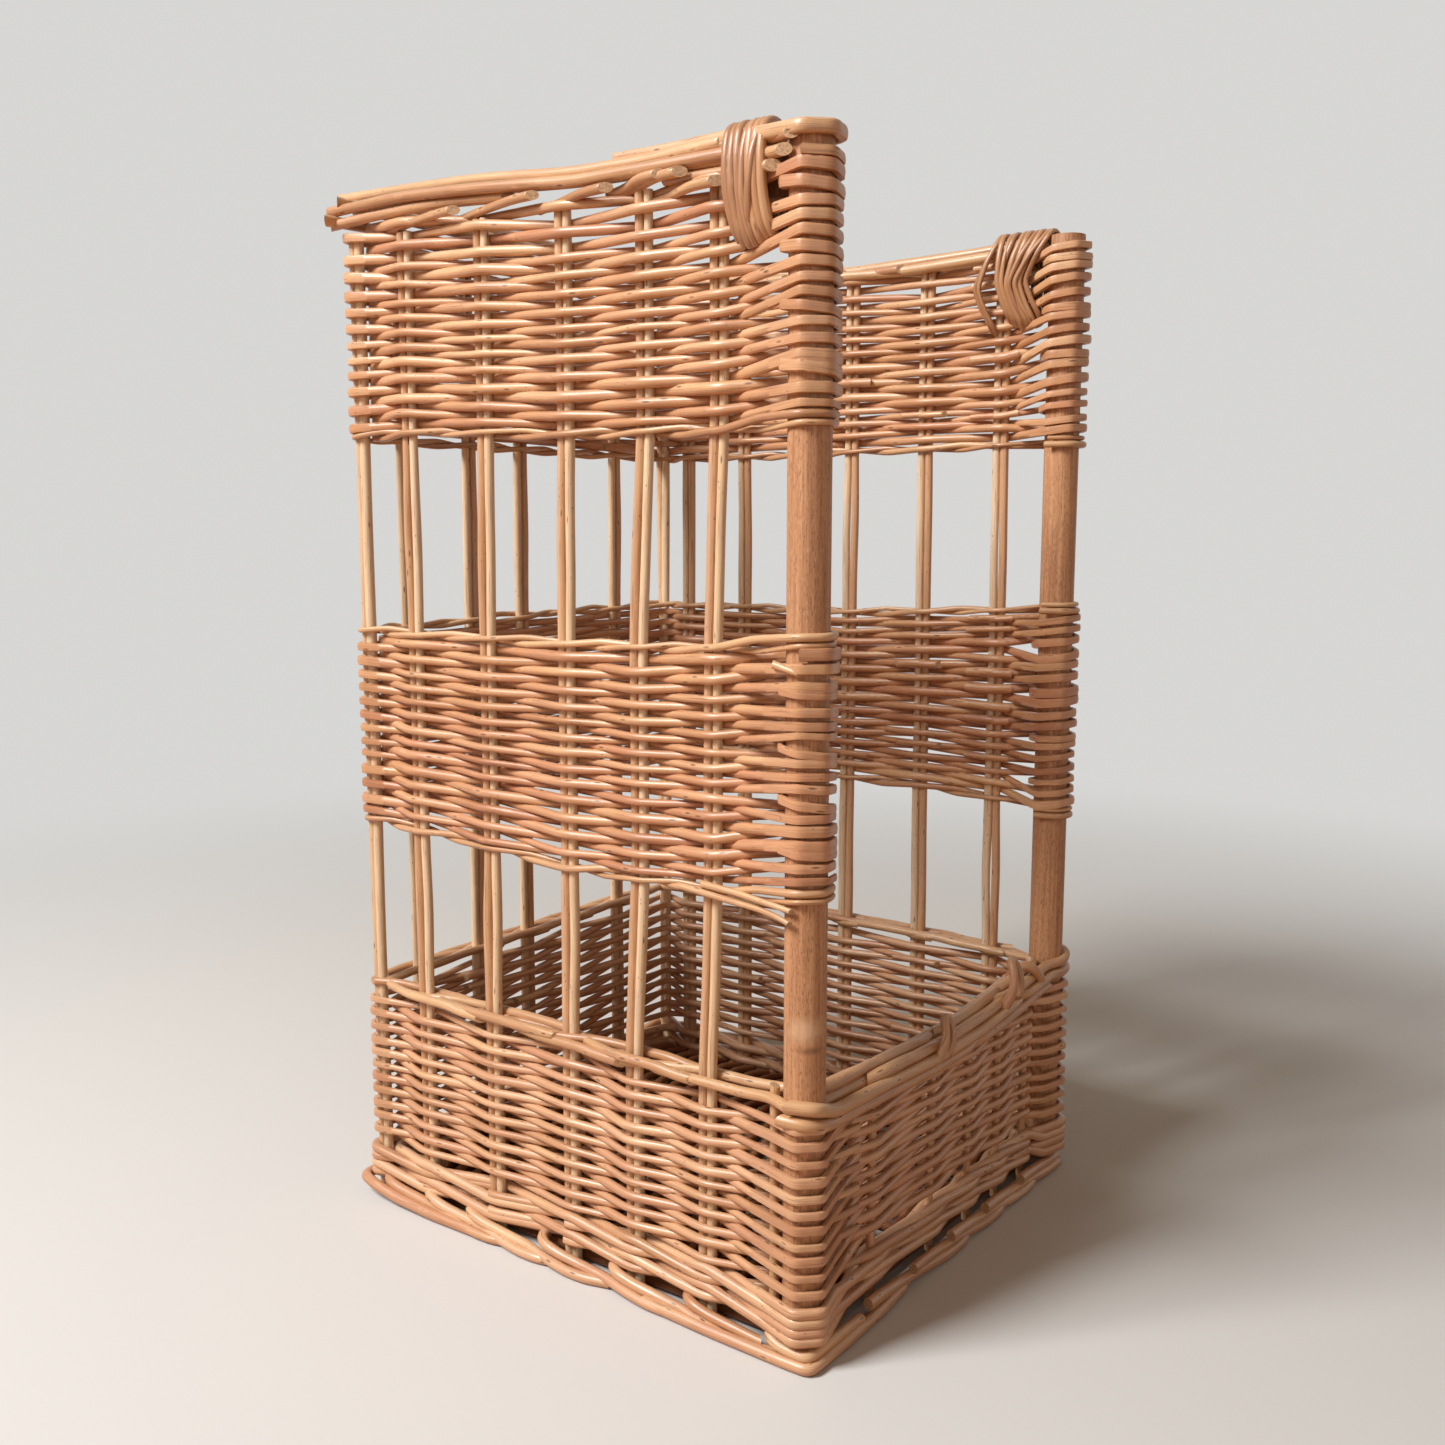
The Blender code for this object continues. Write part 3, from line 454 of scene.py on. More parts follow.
# the base's willow is multiplied darker and browner by `painted_shade`: painted shadow, for the
# base lies in the shadow of the walls
base_willow = willow("base_willow", buff_tones, 0.60, painted_shade=(0.46, 0.36, 0.28), coat=0.05)
print("willow materials", len([m for m in bpy.data.materials if "willow" in m.name]))

# %% [markdown]
# ## Passing an upright
# Randing is the plainest weave: one rod goes in front of one stake and behind the next. At a stake
# it touches with its side, so its middle lies one reach and one rod radius away. Round a corner
# stake or a post it follows the curve.

# %% Points where a rod passes an upright
front_squeeze, turn_spread = 0.8, 0.0004


def turned(direction, degrees):
    """A level direction turned to the left by some degrees."""
    c, s = math.cos(math.radians(degrees)), math.sin(math.radians(degrees))
    return np.array((c * direction[0] - s * direction[1], s * direction[0] + c * direction[1]))


def pass_by(upright, side, thickness):
    """Middle of a rod beside an upright: side +1 is outside, -1 is inside.

    Beside a stake these are two points, at plus and minus its half width. Outside a post or corner
    they are two kinks, 30 degrees to each side of the diagonal, and willow lies straight between
    them; inside a corner it is one point, on the diagonal. Beside a post the rod already lies
    outside one shoulder away, where a thin stake stands.
    """
    place, out_1, out_2, ahead, reach, kind, _, wall = upright
    clear = reach + thickness
    if kind == "stake":
        clear *= front_squeeze if wall == "front" else 1.0
        middle = place + out_2 * side * clear
        half = single_half if wall == "front" else pair_half
        return [middle - ahead * half, middle + ahead * half]
    diagonal = unit(out_1 + out_2)
    if side < 0:
        return [place - diagonal * clear]
    if kind == "corner":
        return [place + turned(diagonal, way) * clear for way in (kink_angle, -kink_angle)]
    beside = [place - way * shoulder * turned(out, -90) + out * (shoulder_reach + thickness)
              for out, way in ((out_1, 1), (out_2, -1))]
    kinks = [place + turned(diagonal, way) * clear * kink_reach
             for way in (kink_angle, -kink_angle)]
    return [beside[0], *kinks, beside[1]]


def turn_round(post, sign, thickness, full_turns):
    """Points of a rod that arrives inside a front post, goes round it and leaves outside.

    The kinks are the corners of a hexagon round the post: direction = inner * cos + front * sin,
    every 60 degrees from just behind the inner side. `full_turns` adds whole rounds.
    """
    inner, front = np.array((sign, 0.0)), np.array((0.0, -1.0))
    angles = np.radians(-15 + 60 * np.arange(4 + 6 * full_turns))
    clear = (post_reach + thickness + abs(chance.normal(0, turn_spread))) * kink_reach
    return [post[0] + (inner * np.cos(a) + front * np.sin(a)) * clear for a in angles]


# %% [markdown]
# ## Planning the rods
# A weaver works with one rod after another. Here one endless line is planned first: the list of
# its visits to the uprights. Then it is shared out among rods of real length, that start thick at
# the butt and end thin at the tip. A joint hides inside the basket, at a stake that is passed on
# the inside.
#
# The rods are stacked like the real ones: at each upright every rod takes as much height as it is
# thick. That makes the rows swell and sink a little, as they do in the photograph.

# %% Sharing a long line out among rods
lead_in, lead_out = 0.05, 0.09
tuck_reach, radius_drift, height_drift = 0.036, 0.00007, 0.00022
uneven = (0.93, 1.07)


def plan_rods(stations, visits, lengths, butts, tips):
    """Cut distances, the way inwards at each cut, and each rod's radius at its start and end.

    `visits` holds (station, side, distance). Every second rod is laid in tip first, so that like
    ends meet.
    """
    cuts, inward = [-lead_in], [np.zeros(2)]
    wanted = chance.uniform(0.5, 1) * lengths[1]
    for k, side, distance in visits:
        if side < 0 and stations[k][5] == "stake" and distance - cuts[-1] > wanted:
            cuts.append(distance)
            inward.append(-stations[k][2])
            wanted = chance.uniform(*lengths)
    cuts.append(visits[-1][2] + lead_out)
    inward.append(np.zeros(2))
    sizes = [[chance.uniform(*butts), chance.uniform(*tips)][::1 if i % 2 else -1]
             for i in range(len(cuts) - 1)]
    return np.array(cuts), inward, np.array(sizes)


def radius_at(plan, distance):
    """Radius at a distance along the long line: evenly from a rod's start size to its end size."""
    cuts, _, sizes = plan
    index = np.clip(np.searchsorted(cuts, distance, "right") - 1, 0, len(sizes) - 1)
    share = (distance - cuts[index]) / (cuts[index + 1] - cuts[index])
    return sizes[index, 0] + share * (sizes[index, 1] - sizes[index, 0])


def edge_height(edge, travelled):
    """Height of a woven edge at a distance round the basket, by straight steps between marks."""
    places, heights = zip(*edge)
    return np.interp(travelled, places, heights)


def stacked(stations, visits, weights, low, high):
    """Height of every visit: the rods at one upright are stacked, each by its own weight.

    Height = lower edge + (weights below + half the own weight) / all weights * band height.
    """
    keys = np.array([k for k, _, _ in visits])
    heights = np.zeros(len(visits))
    for k, station in enumerate(stations):
        chosen = np.flatnonzero(keys == k)
        own = weights[chosen]
        bottom, top = (edge_height(e, station[6]) for e in (low, high))
        heights[chosen] = bottom + (np.cumsum(own) - own / 2) / own.sum() * (top - bottom)
    return heights


def cut_to_rods(points, plan, soft, lap=0.018, tuck=0.0030):
    """Cut a long line of (x, y, z, flatness, distance) points into the planned tapering rods.

    Rods overlap at the joints. Near an end a rod moves inwards by tuck times the square of how
    near the end is.
    """
    line = smooth_line(points, soft)
    cuts, inward, sizes = plan
    rods = []
    for index, (start, end) in enumerate(sizes):
        first, last = cuts[index] - lap, cuts[index + 1] + lap
        chosen = (line[:, 4] >= first) & (line[:, 4] <= last)
        part, here = line[chosen].copy(), line[chosen, 4]
        for edge, way in ((first, inward[index]), (last, inward[index + 1])):
            near = np.clip(1 - np.abs(here - edge) / tuck_reach, 0, 1) ** 2
            part[:, :2] += tuck * near[:, None] * way
        share = np.clip((here - first) / (last - first), 0, 1)
        radius = start + (end - start) * share + drift(len(part), 12, radius_drift)
        part[:, 2] += drift(len(part), 16, height_drift)
        rods.append(rod(part[:, :3], radius, flat=part[:, 3], start_cut=0.8, end_cut=-0.8))
    return rods


# %% [markdown]
# ## The two open bands
# The middle and upper bands stop at the front posts. One long line is enough: it runs from the
# left post round the back to the right post, turns round that post and comes back one course
# higher. Here and there it takes an extra turn round the post, because two courses are lower than
# a rod is wide. The edges of a band are marks of (distance round the basket, height).

# %% Weaving a band
soft_weave = 0.0014
turn_length, turn_ahead = 0.11, 0.09
turn_rise, turn_bulge, turn_squeeze = 0.0056, 0.0009, 0.72


def mm(text):
    """Points written in millimetres: numbers parted by blanks, points by commas; gives metres."""
    return [tuple(float(number + "e-3") for number in point.split()) for point in text.split(",")]


def band_rods(stations, low, high, rows, thickness, lengths, butts, tips, loose=(), wobble=0.0004):
    """Rods of an open band. Course n passes station k outside where n + k is even.

    Height in a turn = its middle + (share - 1/2) * rise + bulge * sin(pi * share), with share from
    0 to 1. `loose` is how much more room each of the last rows takes.
    """
    last = len(stations) - 1
    span = stations[last][6] + turn_length
    visits, courses = [], []
    for course in range(-1, rows):
        if course >= 0:
            for k in (range(1, last) if course % 2 == 0 else range(last - 1, 0, -1)):
                far = stations[k][6] if course % 2 == 0 else stations[last][6] - stations[k][6]
                visits.append((k, 1 if (course + k) % 2 == 0 else -1, course * span + far))
                courses.append(course)
        visits.append((last if course % 2 == 0 else 0, 0, (course + 1) * span - turn_ahead))
        courses.append(course)
    plan = plan_rods(stations, visits, lengths, butts, tips)
    courses = np.array(courses)
    distances = np.array([d for _, _, d in visits])
    weights = radius_at(plan, distances)
    slack = np.concatenate([[0], np.zeros(rows - len(loose)), loose])
    weights = weights * (1 + slack[courses + 1]) * chance.uniform(*uneven, len(weights))
    at_post = np.array([s == 0 for _, s, _ in visits])
    extra = np.where(at_post & (courses // 2 % 3 == 1), 1, 0)
    weights = np.where(at_post, (1 + extra) * chance.uniform(0.82, 1.18, len(weights)), weights)
    heights = stacked(stations, visits, weights, low, high)
    points = []
    for (k, side, distance), course, rounds, z in zip(visits, courses, extra, heights):
        if side:
            beside = pass_by(stations[k], side, thickness)
            steps = np.linspace(-pair_half, pair_half, len(beside))
            z = z + chance.normal(0, wobble)
            bent = 0.9 if stations[k][5] == "corner" else 0
            points += [(*p, z, bent, distance + s)
                       for p, s in zip(beside if course % 2 == 0 else beside[::-1], steps)]
        else:
            turn = turn_round(stations[k], -1 if k else 1, thickness * turn_squeeze, rounds)
            rise = turn_rise * (len(turn) - 1) / 6 * (1 + 0.25 * rounds)
            share = np.linspace(0, 1, len(turn))
            levels = (z + (share - 0.5) * rise * chance.uniform(0.5, 1.4)
                      + turn_bulge * np.sin(np.pi * share) + chance.normal(0, 0.0003))
            ways = distance + np.linspace(0.005, 0.06, len(turn))
            points += [(*p, h, 1, s) for p, h, s in zip(turn, levels, ways)]
    return cut_to_rods(points, plan, soft_weave)


upper_low = mm("0 469, 55 466.5, 160 467.5, 260 473, 316 471.5, 597 468, 750 469, 913 470.5")
upper_high = mm("0 585, 25 583.5, 60 581.5, 160 582, 316 590, 597 584, 850 576, 888 581, "
                "913 586.2")
middle_low = mm("0 245, 50 238, 160 235.5, 270 240.5, 316 243.5, 597 243, 840 247, 913 240")
middle_high = mm("0 360, 50 355, 100 352, 200 350, 316 351, 597 354, 770 354, 913 362")

upper_rods = band_rods(upper_uprights[:20], upper_low, upper_high, 24, 0.0024, (0.66, 1.02),
                       (0.0027, 0.0034), (0.0018, 0.0024), loose=(0.2, 0.3, 0.3, 0.2))
upper_weave = rod_object("upper_weave", upper_rods, upper_willow, 8)
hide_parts("upper_weave_left", "upper_weave_back", "upper_weave_right",
            "upper_wraps_left", "upper_wraps_right")

middle_rods = band_rods(middle_uprights[:20], middle_low, middle_high, 26, 0.0022, (0.66, 1.02),
                        (0.0025, 0.0032), (0.0017, 0.0022))
middle_weave = rod_object("middle_weave", middle_rods, middle_willow, 8)
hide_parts("middle_weave_left", "middle_weave_back", "middle_weave_right",
            "middle_wraps_left", "middle_wraps_right")

# %% [markdown]
# ## The tray
# The tray is woven on all four sides. There are 25 uprights round it, an odd number, so one line
# that climbs like a screw passes every upright on the other side each time round: the weave
# makes itself.

# %% Weaving the tray
def spiral_rods(stations, low, high, rows, thickness, lengths, butts, tips, wobble=0.00035):
    """Rods of a line that climbs round and round; at station k it is k / stations rows up."""
    count = len(stations)
    visits = [(step % count, 1 if step % 2 else -1,
               step // count * around + stations[step % count][6]) for step in range(rows * count)]
    plan = plan_rods(stations, visits, lengths, butts, tips)
    weights = radius_at(plan, np.array([d for _, _, d in visits]))
    weights = weights * chance.uniform(*uneven, len(weights))
    heights = stacked(stations, visits, weights, low, high)
    points = []
    for (k, side, distance), z in zip(visits, heights):
        row = (edge_height(high, stations[k][6]) - edge_height(low, stations[k][6])) / rows
        z = z + (k / count - 0.5) * row + chance.normal(0, wobble)
        beside = pass_by(stations[k], side, thickness)
        bent = 0.85 if stations[k][5] != "stake" else 0
        steps = np.linspace(-pair_half, pair_half, len(beside))
        points += [(*p, z, bent, distance + s) for p, s in zip(beside, steps)]
    return cut_to_rods(points, plan, soft_weave)


tray_low = mm("0 37, 316 36, 597 36, 913 38, 1194 37")
tray_high = mm("0 129, 108 124.5, 146 129, 210 126.5, 316 129, 597 132, 860 133, 913 130, "
               "1050 124, 1194 127")
tray_rods = spiral_rods(tray_uprights, tray_low, tray_high, 22, 0.0021, (0.6, 0.95),
                        (0.0024, 0.0029), (0.0017, 0.0021))
tray_weave = rod_object("tray_weave", tray_rods, tray_willow, 8)
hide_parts("tray_weave_left", "tray_weave_back", "tray_weave_right",
            "tray_weave_front", "tray_wraps_left", "tray_wraps_right")

# %% [markdown]
# ## Waling at the foot of the tray
# Below the plain weave lie two rounds of thicker rods. In waling three rods take turns: each one
# goes outside two uprights and inside one. It grips the stakes and makes a long slanting stroke.

# %% Waling
wale_steps = (0, -0.0026, 0.0027)


def wale_line(stations, first, height, rise, thickness):
    """One of three waling rods: outside two uprights, inside the third, starting one further on.

    It lies low at the first upright it passes outside and high at the second, over the start of
    the next rod's stroke.
    """
    points = []
    count = len(stations)
    for step in range(first, first + count + 1):
        station = stations[step % count]
        turn = (step - first) % 3
        z = height + rise * (step - first) / count + wale_steps[turn]
        z += chance.normal(0, 0.0003)
        bent = 0.5 if station[5] == "post" else 0
        points += [(*p, z, bent) for p in pass_by(station, -1 if turn == 0 else 1, thickness)]
    return points


wale_rods = []
for round_height in (0.0160, 0.0262):
    for third in range(3):
        marks = wale_line(tray_uprights, third + 3, round_height, 0.0030, 0.0027)
        line = smooth_line(marks, 0.0018)
        radius = np.linspace(0.0032, 0.0027, len(line)) + drift(len(line), 20, 0.00008)
        wale_rods.append(rod(line[:, :3], radius, flat=line[:, 3], start_cut=-0.7, end_cut=0.7))
wale = rod_object("tray_wale", wale_rods, foot_willow)

# %% [markdown]
# ## Stakes
# Each upright is a pair of rods, one paler than the other. They stand close in the weave and
# wander a little apart in the open. In the low front wall the stakes are single.

# %% Stakes
stake_foot, stake_top, pair_shift = 0.0032, 0.584, 0.00275
sideways = (1, 0.3, 0)


def stake_line(wall, low, high, shift, sway, bottom, top):
    """A stake's middle: upright in each tier, leaning between, plus shift and a slow sway."""
    levels = np.array((bottom, tray_top, middle_bottom, middle_top, upper_bottom, top))
    lean = np.clip((np.array((bottom, 0.10, 0.298, 0.298, 0.50, 0.56)) - tray_top)
                   / (upper_bottom - tray_top), 0, 1)
    length = wall_named[wall][4]
    z = np.linspace(bottom, top, 60)
    share = np.interp(z, levels, lean)
    far = (low + (high - low) * share) * length
    in_gap = (np.interp(z, (0.14, 0.19, 0.235), (0, 1, 0))
              + np.interp(z, (0.36, 0.41, 0.46), (0, 1, 0)))
    far = far + shift * (1 + 0.10 * in_gap) + sway[0] * in_gap * np.sin(38 * z + sway[1])
    out = sway[2] * in_gap
    points = [on_wall(wall, d, o, h) for d, o, h in zip(far, out, z)]
    return smooth_line(points, 0.008, keep=4)


stake_rods = []
for wall, _, _, _, _, lows, highs in walls[:3]:
    for low, high in zip(lows, highs):
        for shift in (-1, 1):
            sway = (chance.uniform(-0.0008, 0.0008), chance.uniform(0, 6),
                    chance.uniform(-0.0006, 0.0006))
            line = stake_line(wall, low, high, shift * pair_shift, sway, stake_foot, stake_top)
            radius = np.linspace(0.0029, 0.0025, len(line)) + drift(len(line), 12, 0.0001)
            tone = chance.uniform(0, 0.44) if shift > 0 else chance.uniform(0.58, 1)
            stake_rods.append(rod(line, radius, up=sideways, tone=tone))
for side in (-1, 1):
    for shift, thick in ((-0.0022, 0.0030), (0.0022, 0.0028)):
        z = np.linspace(stake_foot, stake_top, 60)
        sway = 0.0005 * np.sin(25 * z + side + 700 * shift)
        line = np.stack([side * half_span - side * 0.3 * sway, half_depth + shift + sway, z], 1)
        stake_rods.append(rod(line, thick + drift(60, 12, 0.0001), up=sideways,
                              tone=0.8 if shift < 0 else 0.5))
stakes = rod_object("willow_stakes", stake_rods, stake_willow, 12)
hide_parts(*[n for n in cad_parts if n.startswith(("stakes_", "corner_stake_"))])

front_rods = []
for low in walls[3][5]:
    z = np.linspace(stake_foot, 0.128, 24)
    far = low * 2 * half_span + 0.0004 * np.sin(60 * z + 9 * low)
    line = np.array([on_wall("front", d, 0, h) for d, h in zip(far, z)])
    front_rods.append(rod(line, 0.0024, up=sideways, tone=chance.uniform(0.0, 0.4)))
front_stakes = rod_object("front_stakes", front_rods, stake_willow, 12)
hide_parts(*[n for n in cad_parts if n.startswith("stake_front_")])

# %% [markdown]
# ## Pairing
# Two thin rods bind the loose edge of a band. At each stake one is outside and one inside, and they
# twist once between stakes, so that each is a long flat screw. They end in turns round the posts.

# %% Pairing rods
edge_gap, pair_twist, pair_thickness = 0.0035, 0.0019, 0.0018


def pairing_line(stations, edge, lift, twist, thickness, phase):
    """One rod of a pair: sides alternate at stakes, and halfway it is raised or sunk by twist."""
    ends = [[(*p, edge_height(edge, stations[k][6]) + lift + (1.5 - 2.2 * phase) * 0.0018)
             for p in turn_round(stations[k], sign, thickness * 0.8, 0)]
            for k, sign in ((0, 1), (-1, -1))]
    points = ends[0]
    for k, station in enumerate(stations[1:-1]):
        side = 1 if (k + phase) % 2 == 0 else -1
        z = edge_height(edge, station[6]) + lift + chance.normal(0, 0.0005)
        beside = pass_by(station, side, thickness)
        between = (np.array(points[-1][:2]) + beside[0]) / 2
        points.append((*between, (points[-1][2] + z) / 2 + side * twist))
        points += [(*p, z) for p in beside]
    return points + ends[1][::-1]


pairing_rods = []
for stations, edge, lift in ((upper_uprights[:20], upper_low, -edge_gap),
                             (middle_uprights[:20], middle_low, -edge_gap),
                             (middle_uprights[:20], middle_high, edge_gap)):
    for phase in (0, 1):
        marks = pairing_line(stations, edge, lift, pair_twist, pair_thickness, phase)
        line = smooth_line(marks, 0.003)
        radius = np.linspace(0.0021, 0.0014, len(line))[::1 - 2 * phase]
        pairing_rods.append(rod(line, radius + drift(len(line), 20, 0.00006), start_cut=0.8,
                                end_cut=-0.8))
for marks in (mm("75 5 235, 45 7.8 233.5, 20 10.8 232.5, 7 13.2 231, 0 14.2 229.2"),
              mm("60 6 238.5, 35 9 238, 12 12.6 236.6, -2 13.8 235.2"),
              mm("12 12.4 353, 2 13.6 350.8, -4 13.2 349.2")):
    line = smooth_line([on_wall("left", *mark) for mark in marks], 0.003)
    pairing_rods.append(rod(line, np.linspace(0.0020, 0.0014, len(line)), start_cut=0.8,
                            end_cut=-0.6, tone=chance.uniform(0.6, 1)))
pairing = rod_object("pairing_rods", pairing_rods, pairing_willow)
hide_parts("upper_pairing", "middle_upper_pairing", "middle_lower_pairing")

# %% [markdown]
# ## Top rail
# The stake ends are bent down along the wall and cut off, and two or three thick rods lie over
# them. Their far ends stand out past the back corners. Near the left post the uppermost rod runs
# up to the post and is bent round its top.

# %% Top rail rods
def laid(wall, marks, radius, soft=0.010, cuts=(-0.9, 0.9), tone=None, taper=0.85, flat=0.0):
    """A rod along a wall through marks of (distance, offset, height), tapering towards its end.

    A mark that starts with a word is a point that already has its place.
    """
    points = [on_wall(wall, *mark) if len(mark) == 3 else mark[1:] for mark in marks]
    line = smooth_line(points, soft)
    size = radius * np.linspace(1, taper, len(line)) + drift(len(line), 16, radius * 0.03)
    return rod(line, size, start_cut=cuts[0], end_cut=cuts[1], tone=tone,
               flat=np.full(len(line), flat))


def from_back(marks):
    """Turn distances from a wall's far end into distances from its near end."""
    return [(2 * half_depth - d, o, z) for d, o, z in marks]


post_top = [("place", *p, 0.5925) for p in turn_round(upper_uprights[0], 1, 0.0018, 0)]
rail_rods = {"left": [], "back": [], "right": []}
rail_rods["left"] = [
    laid("left", post_top + mm("20 9.5 593.5, 40 5 596, 70 2 596.5, 120 0 597.5"),
         0.0034, 0.0014, taper=0.9, tone=0.85, flat=0.7),
]
rail_rods["left"] += [laid("left", mm(text), radius) for text, radius in (
    ("45 4 594.5, 100 1 593.5, 150 2 594.5, 210 1 600.5, 270 -1 603.5, 330 0 604.5", 0.0036),
    ("12 -6 590, 50 -5 590.5, 130 -6 591, 200 -6 596, 270 -6 600, 326 -7 599", 0.0034),
    ("40 6 588.5, 60 6 588.5, 140 5 589, 200 6.5 594, 270 6.5 598, 332 7 596.5", 0.0034),
    ("190 2 589, 250 3 592, 300 4 591, 328 8 588.5", 0.0032))]
for start, end_place, end_height in mm("274 223.5 584.7, 213 165 584.9, 153 115 582.2, "
                                       "106 81 584, 100 68.5 583.4, 80 47 576.4"):
    rail_rods["left"].append(laid("left", (
        (end_place, 0.0100, end_height), (end_place + 0.016, 0.0085, end_height),
        (start, 0.001, end_height - 0.001), (start + 0.02, -0.004, end_height - 0.002)),
        0.0026, 0.006, cuts=(-1.1, 0)))
for end_place, offset, end_height in mm("19.5 10.5 585, 14 11.2 578.5, 6.5 13.5 583.8, "
                                        "2 14 590.5"):
    rail_rods["left"].append(laid("left", (
        (end_place, offset, end_height), (end_place + 0.008, 0.0095, end_height + 0.0004),
        (0.028, 0.0050, end_height + 0.002), (0.085, 0.002, end_height + 0.004)),
        0.0029, 0.005, cuts=(-1.0, 0), tone=chance.uniform(0.1, 0.6)))
rail_rods["right"] = [laid("right", from_back(mm(text)), radius) for text, radius in (
    ("4 9.5 589, 40 3 587.5, 110 0 584.5, 160 1 583.5, 240 0 590, 329 0 597", 0.0036),
    ("12 -6 583, 50 -6 581.5, 120 -6 579, 200 -6 582, 327 -6 592", 0.0034),
    ("15 6 582, 60 6 581, 140 6 579, 230 6 583, 325 6 591", 0.0034))]
for start, end_place in mm("292 245, 242 200, 195 155, 151 110"):
    h = 0.577 + 0.03 * end_place
    rail_rods["right"].append(laid("right", from_back((
        (end_place, -0.0085, h), (end_place + 0.018, -0.007, h), (start, 0, h - 0.001),
        (start + 0.02, 0.004, h - 0.002))), 0.0028, 0.006, cuts=(-1.0, 0)))
rail_rods["back"] = [laid("back", mm(text), radius) for text, radius in (
    ("-8 5.5 601, 70 6 599, 150 5.5 597.5, 220 6 597.5, 289 5 597", 0.0036),
    ("-6 -4 598.5, 60 -5 598, 140 -5.5 595.5, 210 -5 595, 286 -5 595", 0.0034),
    ("10 0 604, 80 1 603.5, 160 0 601.5, 270 0 600", 0.0034))]
for share in walls[1][6]:
    d = share * 2 * half_span
    rail_rods["back"].append(laid("back", (
        (d - 0.045, 0.0085, 0.5905), (d - 0.02, 0.007, 0.5905), (d, 0.001, 0.5895),
        (d + 0.02, -0.004, 0.5885)), 0.0033, 0.006, cuts=(-1.0, 0)))
for wall, rods in rail_rods.items():
    rail = rod_object("rail_" + wall, rods, rail_willow, 14)
    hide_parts("top_rail_" + wall)

# %% [markdown]
# ## Lashings
# Beside each front post thin whole rods bind the rail to the weave. They go over the rail, down
# the face that is seen, through the weave and up the other face. No two run quite alike: they fan
# out over the rail, cross, and crowd together where they dive into the weave.

# %% Lashing strands
def lashing(wall, strands, top, face):
    """One loop for each strand: place above, half way and below, bulge, lowest height, radius.

    `face` is +1 where the strands are seen from outside, -1 from inside.
    """
    found = []
    for above, middle, below, bulge, low, radius in strands:
        half = (top - 0.006 + low) / 2
        marks = [(below, 0.004 * face, low), (below, 0.0085 * face, low + 0.004),
                 ((below + middle) / 2, (0.0098 + 0.6 * bulge) * face, (half + low) / 2),
                 (middle, (0.0108 + bulge) * face, half),
                 ((above + middle) / 2, (0.0108 + 0.7 * bulge) * face, (half + top) / 2),
                 (above, 0.0085 * face, top - 0.0035), (above, 0.0035 * face, top),
                 (above, -0.0035 * face, top), (above, -0.0095 * face, top - 0.006),
                 ((above + below) / 2, -0.0100 * face, half),
                 (below, -0.0090 * face, low + 0.004), (below, -0.004 * face, low),
                 (below + 0.0004, 0.001 * face, low - 0.0004)]
        line = smooth_line([on_wall(wall, *m) for m in marks], 0.0026)
        ahead = np.array((*wall_named[wall][2], 0), float)
        found.append(rod(line, radius + drift(len(line), 24, 0.00014), up=ahead,
                         flat=np.full(len(line), 0.2), start_cut=0.5, end_cut=0.5))
    return found


left_strands = mm("40.8 40.3 36 0.2 548 2.4, 37.4 36.2 33.4 1.4 546.2 2.1, "
                  "34.3 33.7 30 0.2 545.2 2.5, 30 30.4 27.6 1.6 545.6 2.2, "
                  "27.6 27 24 0.3 546.8 2.5, 24.3 23.6 21.2 1.3 548.2 2.1, "
                  "21 20.6 17.8 0.2 549.4 2.4, 22.5 25.8 28.8 3.2 547.5 1.8")
right_strands = mm("39.2 40.5 34 1.6 541 1.8, 34.5 37.2 29.6 2.6 539 1.6, "
                   "31.8 39.2 31.2 0.8 540 1.9, 26.2 33.5 26.2 3.4 537.5 1.7, "
                   "22.8 30 22.2 1.4 538.5 2, 18.5 31.8 24 4 538 1.5, 15 26.2 18.6 2.2 539.5 1.9, "
                   "11 28 20 4.4 538.5 1.5, 8.6 22.6 14.8 0.6 542 1.7, "
                   "40.5 56 46.5 1.4 536.5 1.4, 41.8 52.5 44 3.4 535 1.6")
for wall, top, strands, face in (
        ("left", 0.6010, left_strands, 1),
        ("right", 0.5940, [[2 * half_depth - d for d in s[:3]] + list(s[3:])
                           for s in right_strands], -1)):
    binding = rod_object("lashing_skein_" + wall, lashing(wall, strands, top, face), skein_willow,
                         12)
    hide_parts("lashing_" + wall)

# %% [markdown]
# ## Tray borders
# On the sides and the back two thin rods are laid along the edge: they pass outside two stakes and
# behind the next. On the low front wall, where hands and loaves pass, the border is a bundle of
# thick rods. Each runs along the wall in one of seven lanes, so that they lie beside and over each
# other. Here and there a stake's own end is bent over them as a flat upright loop.

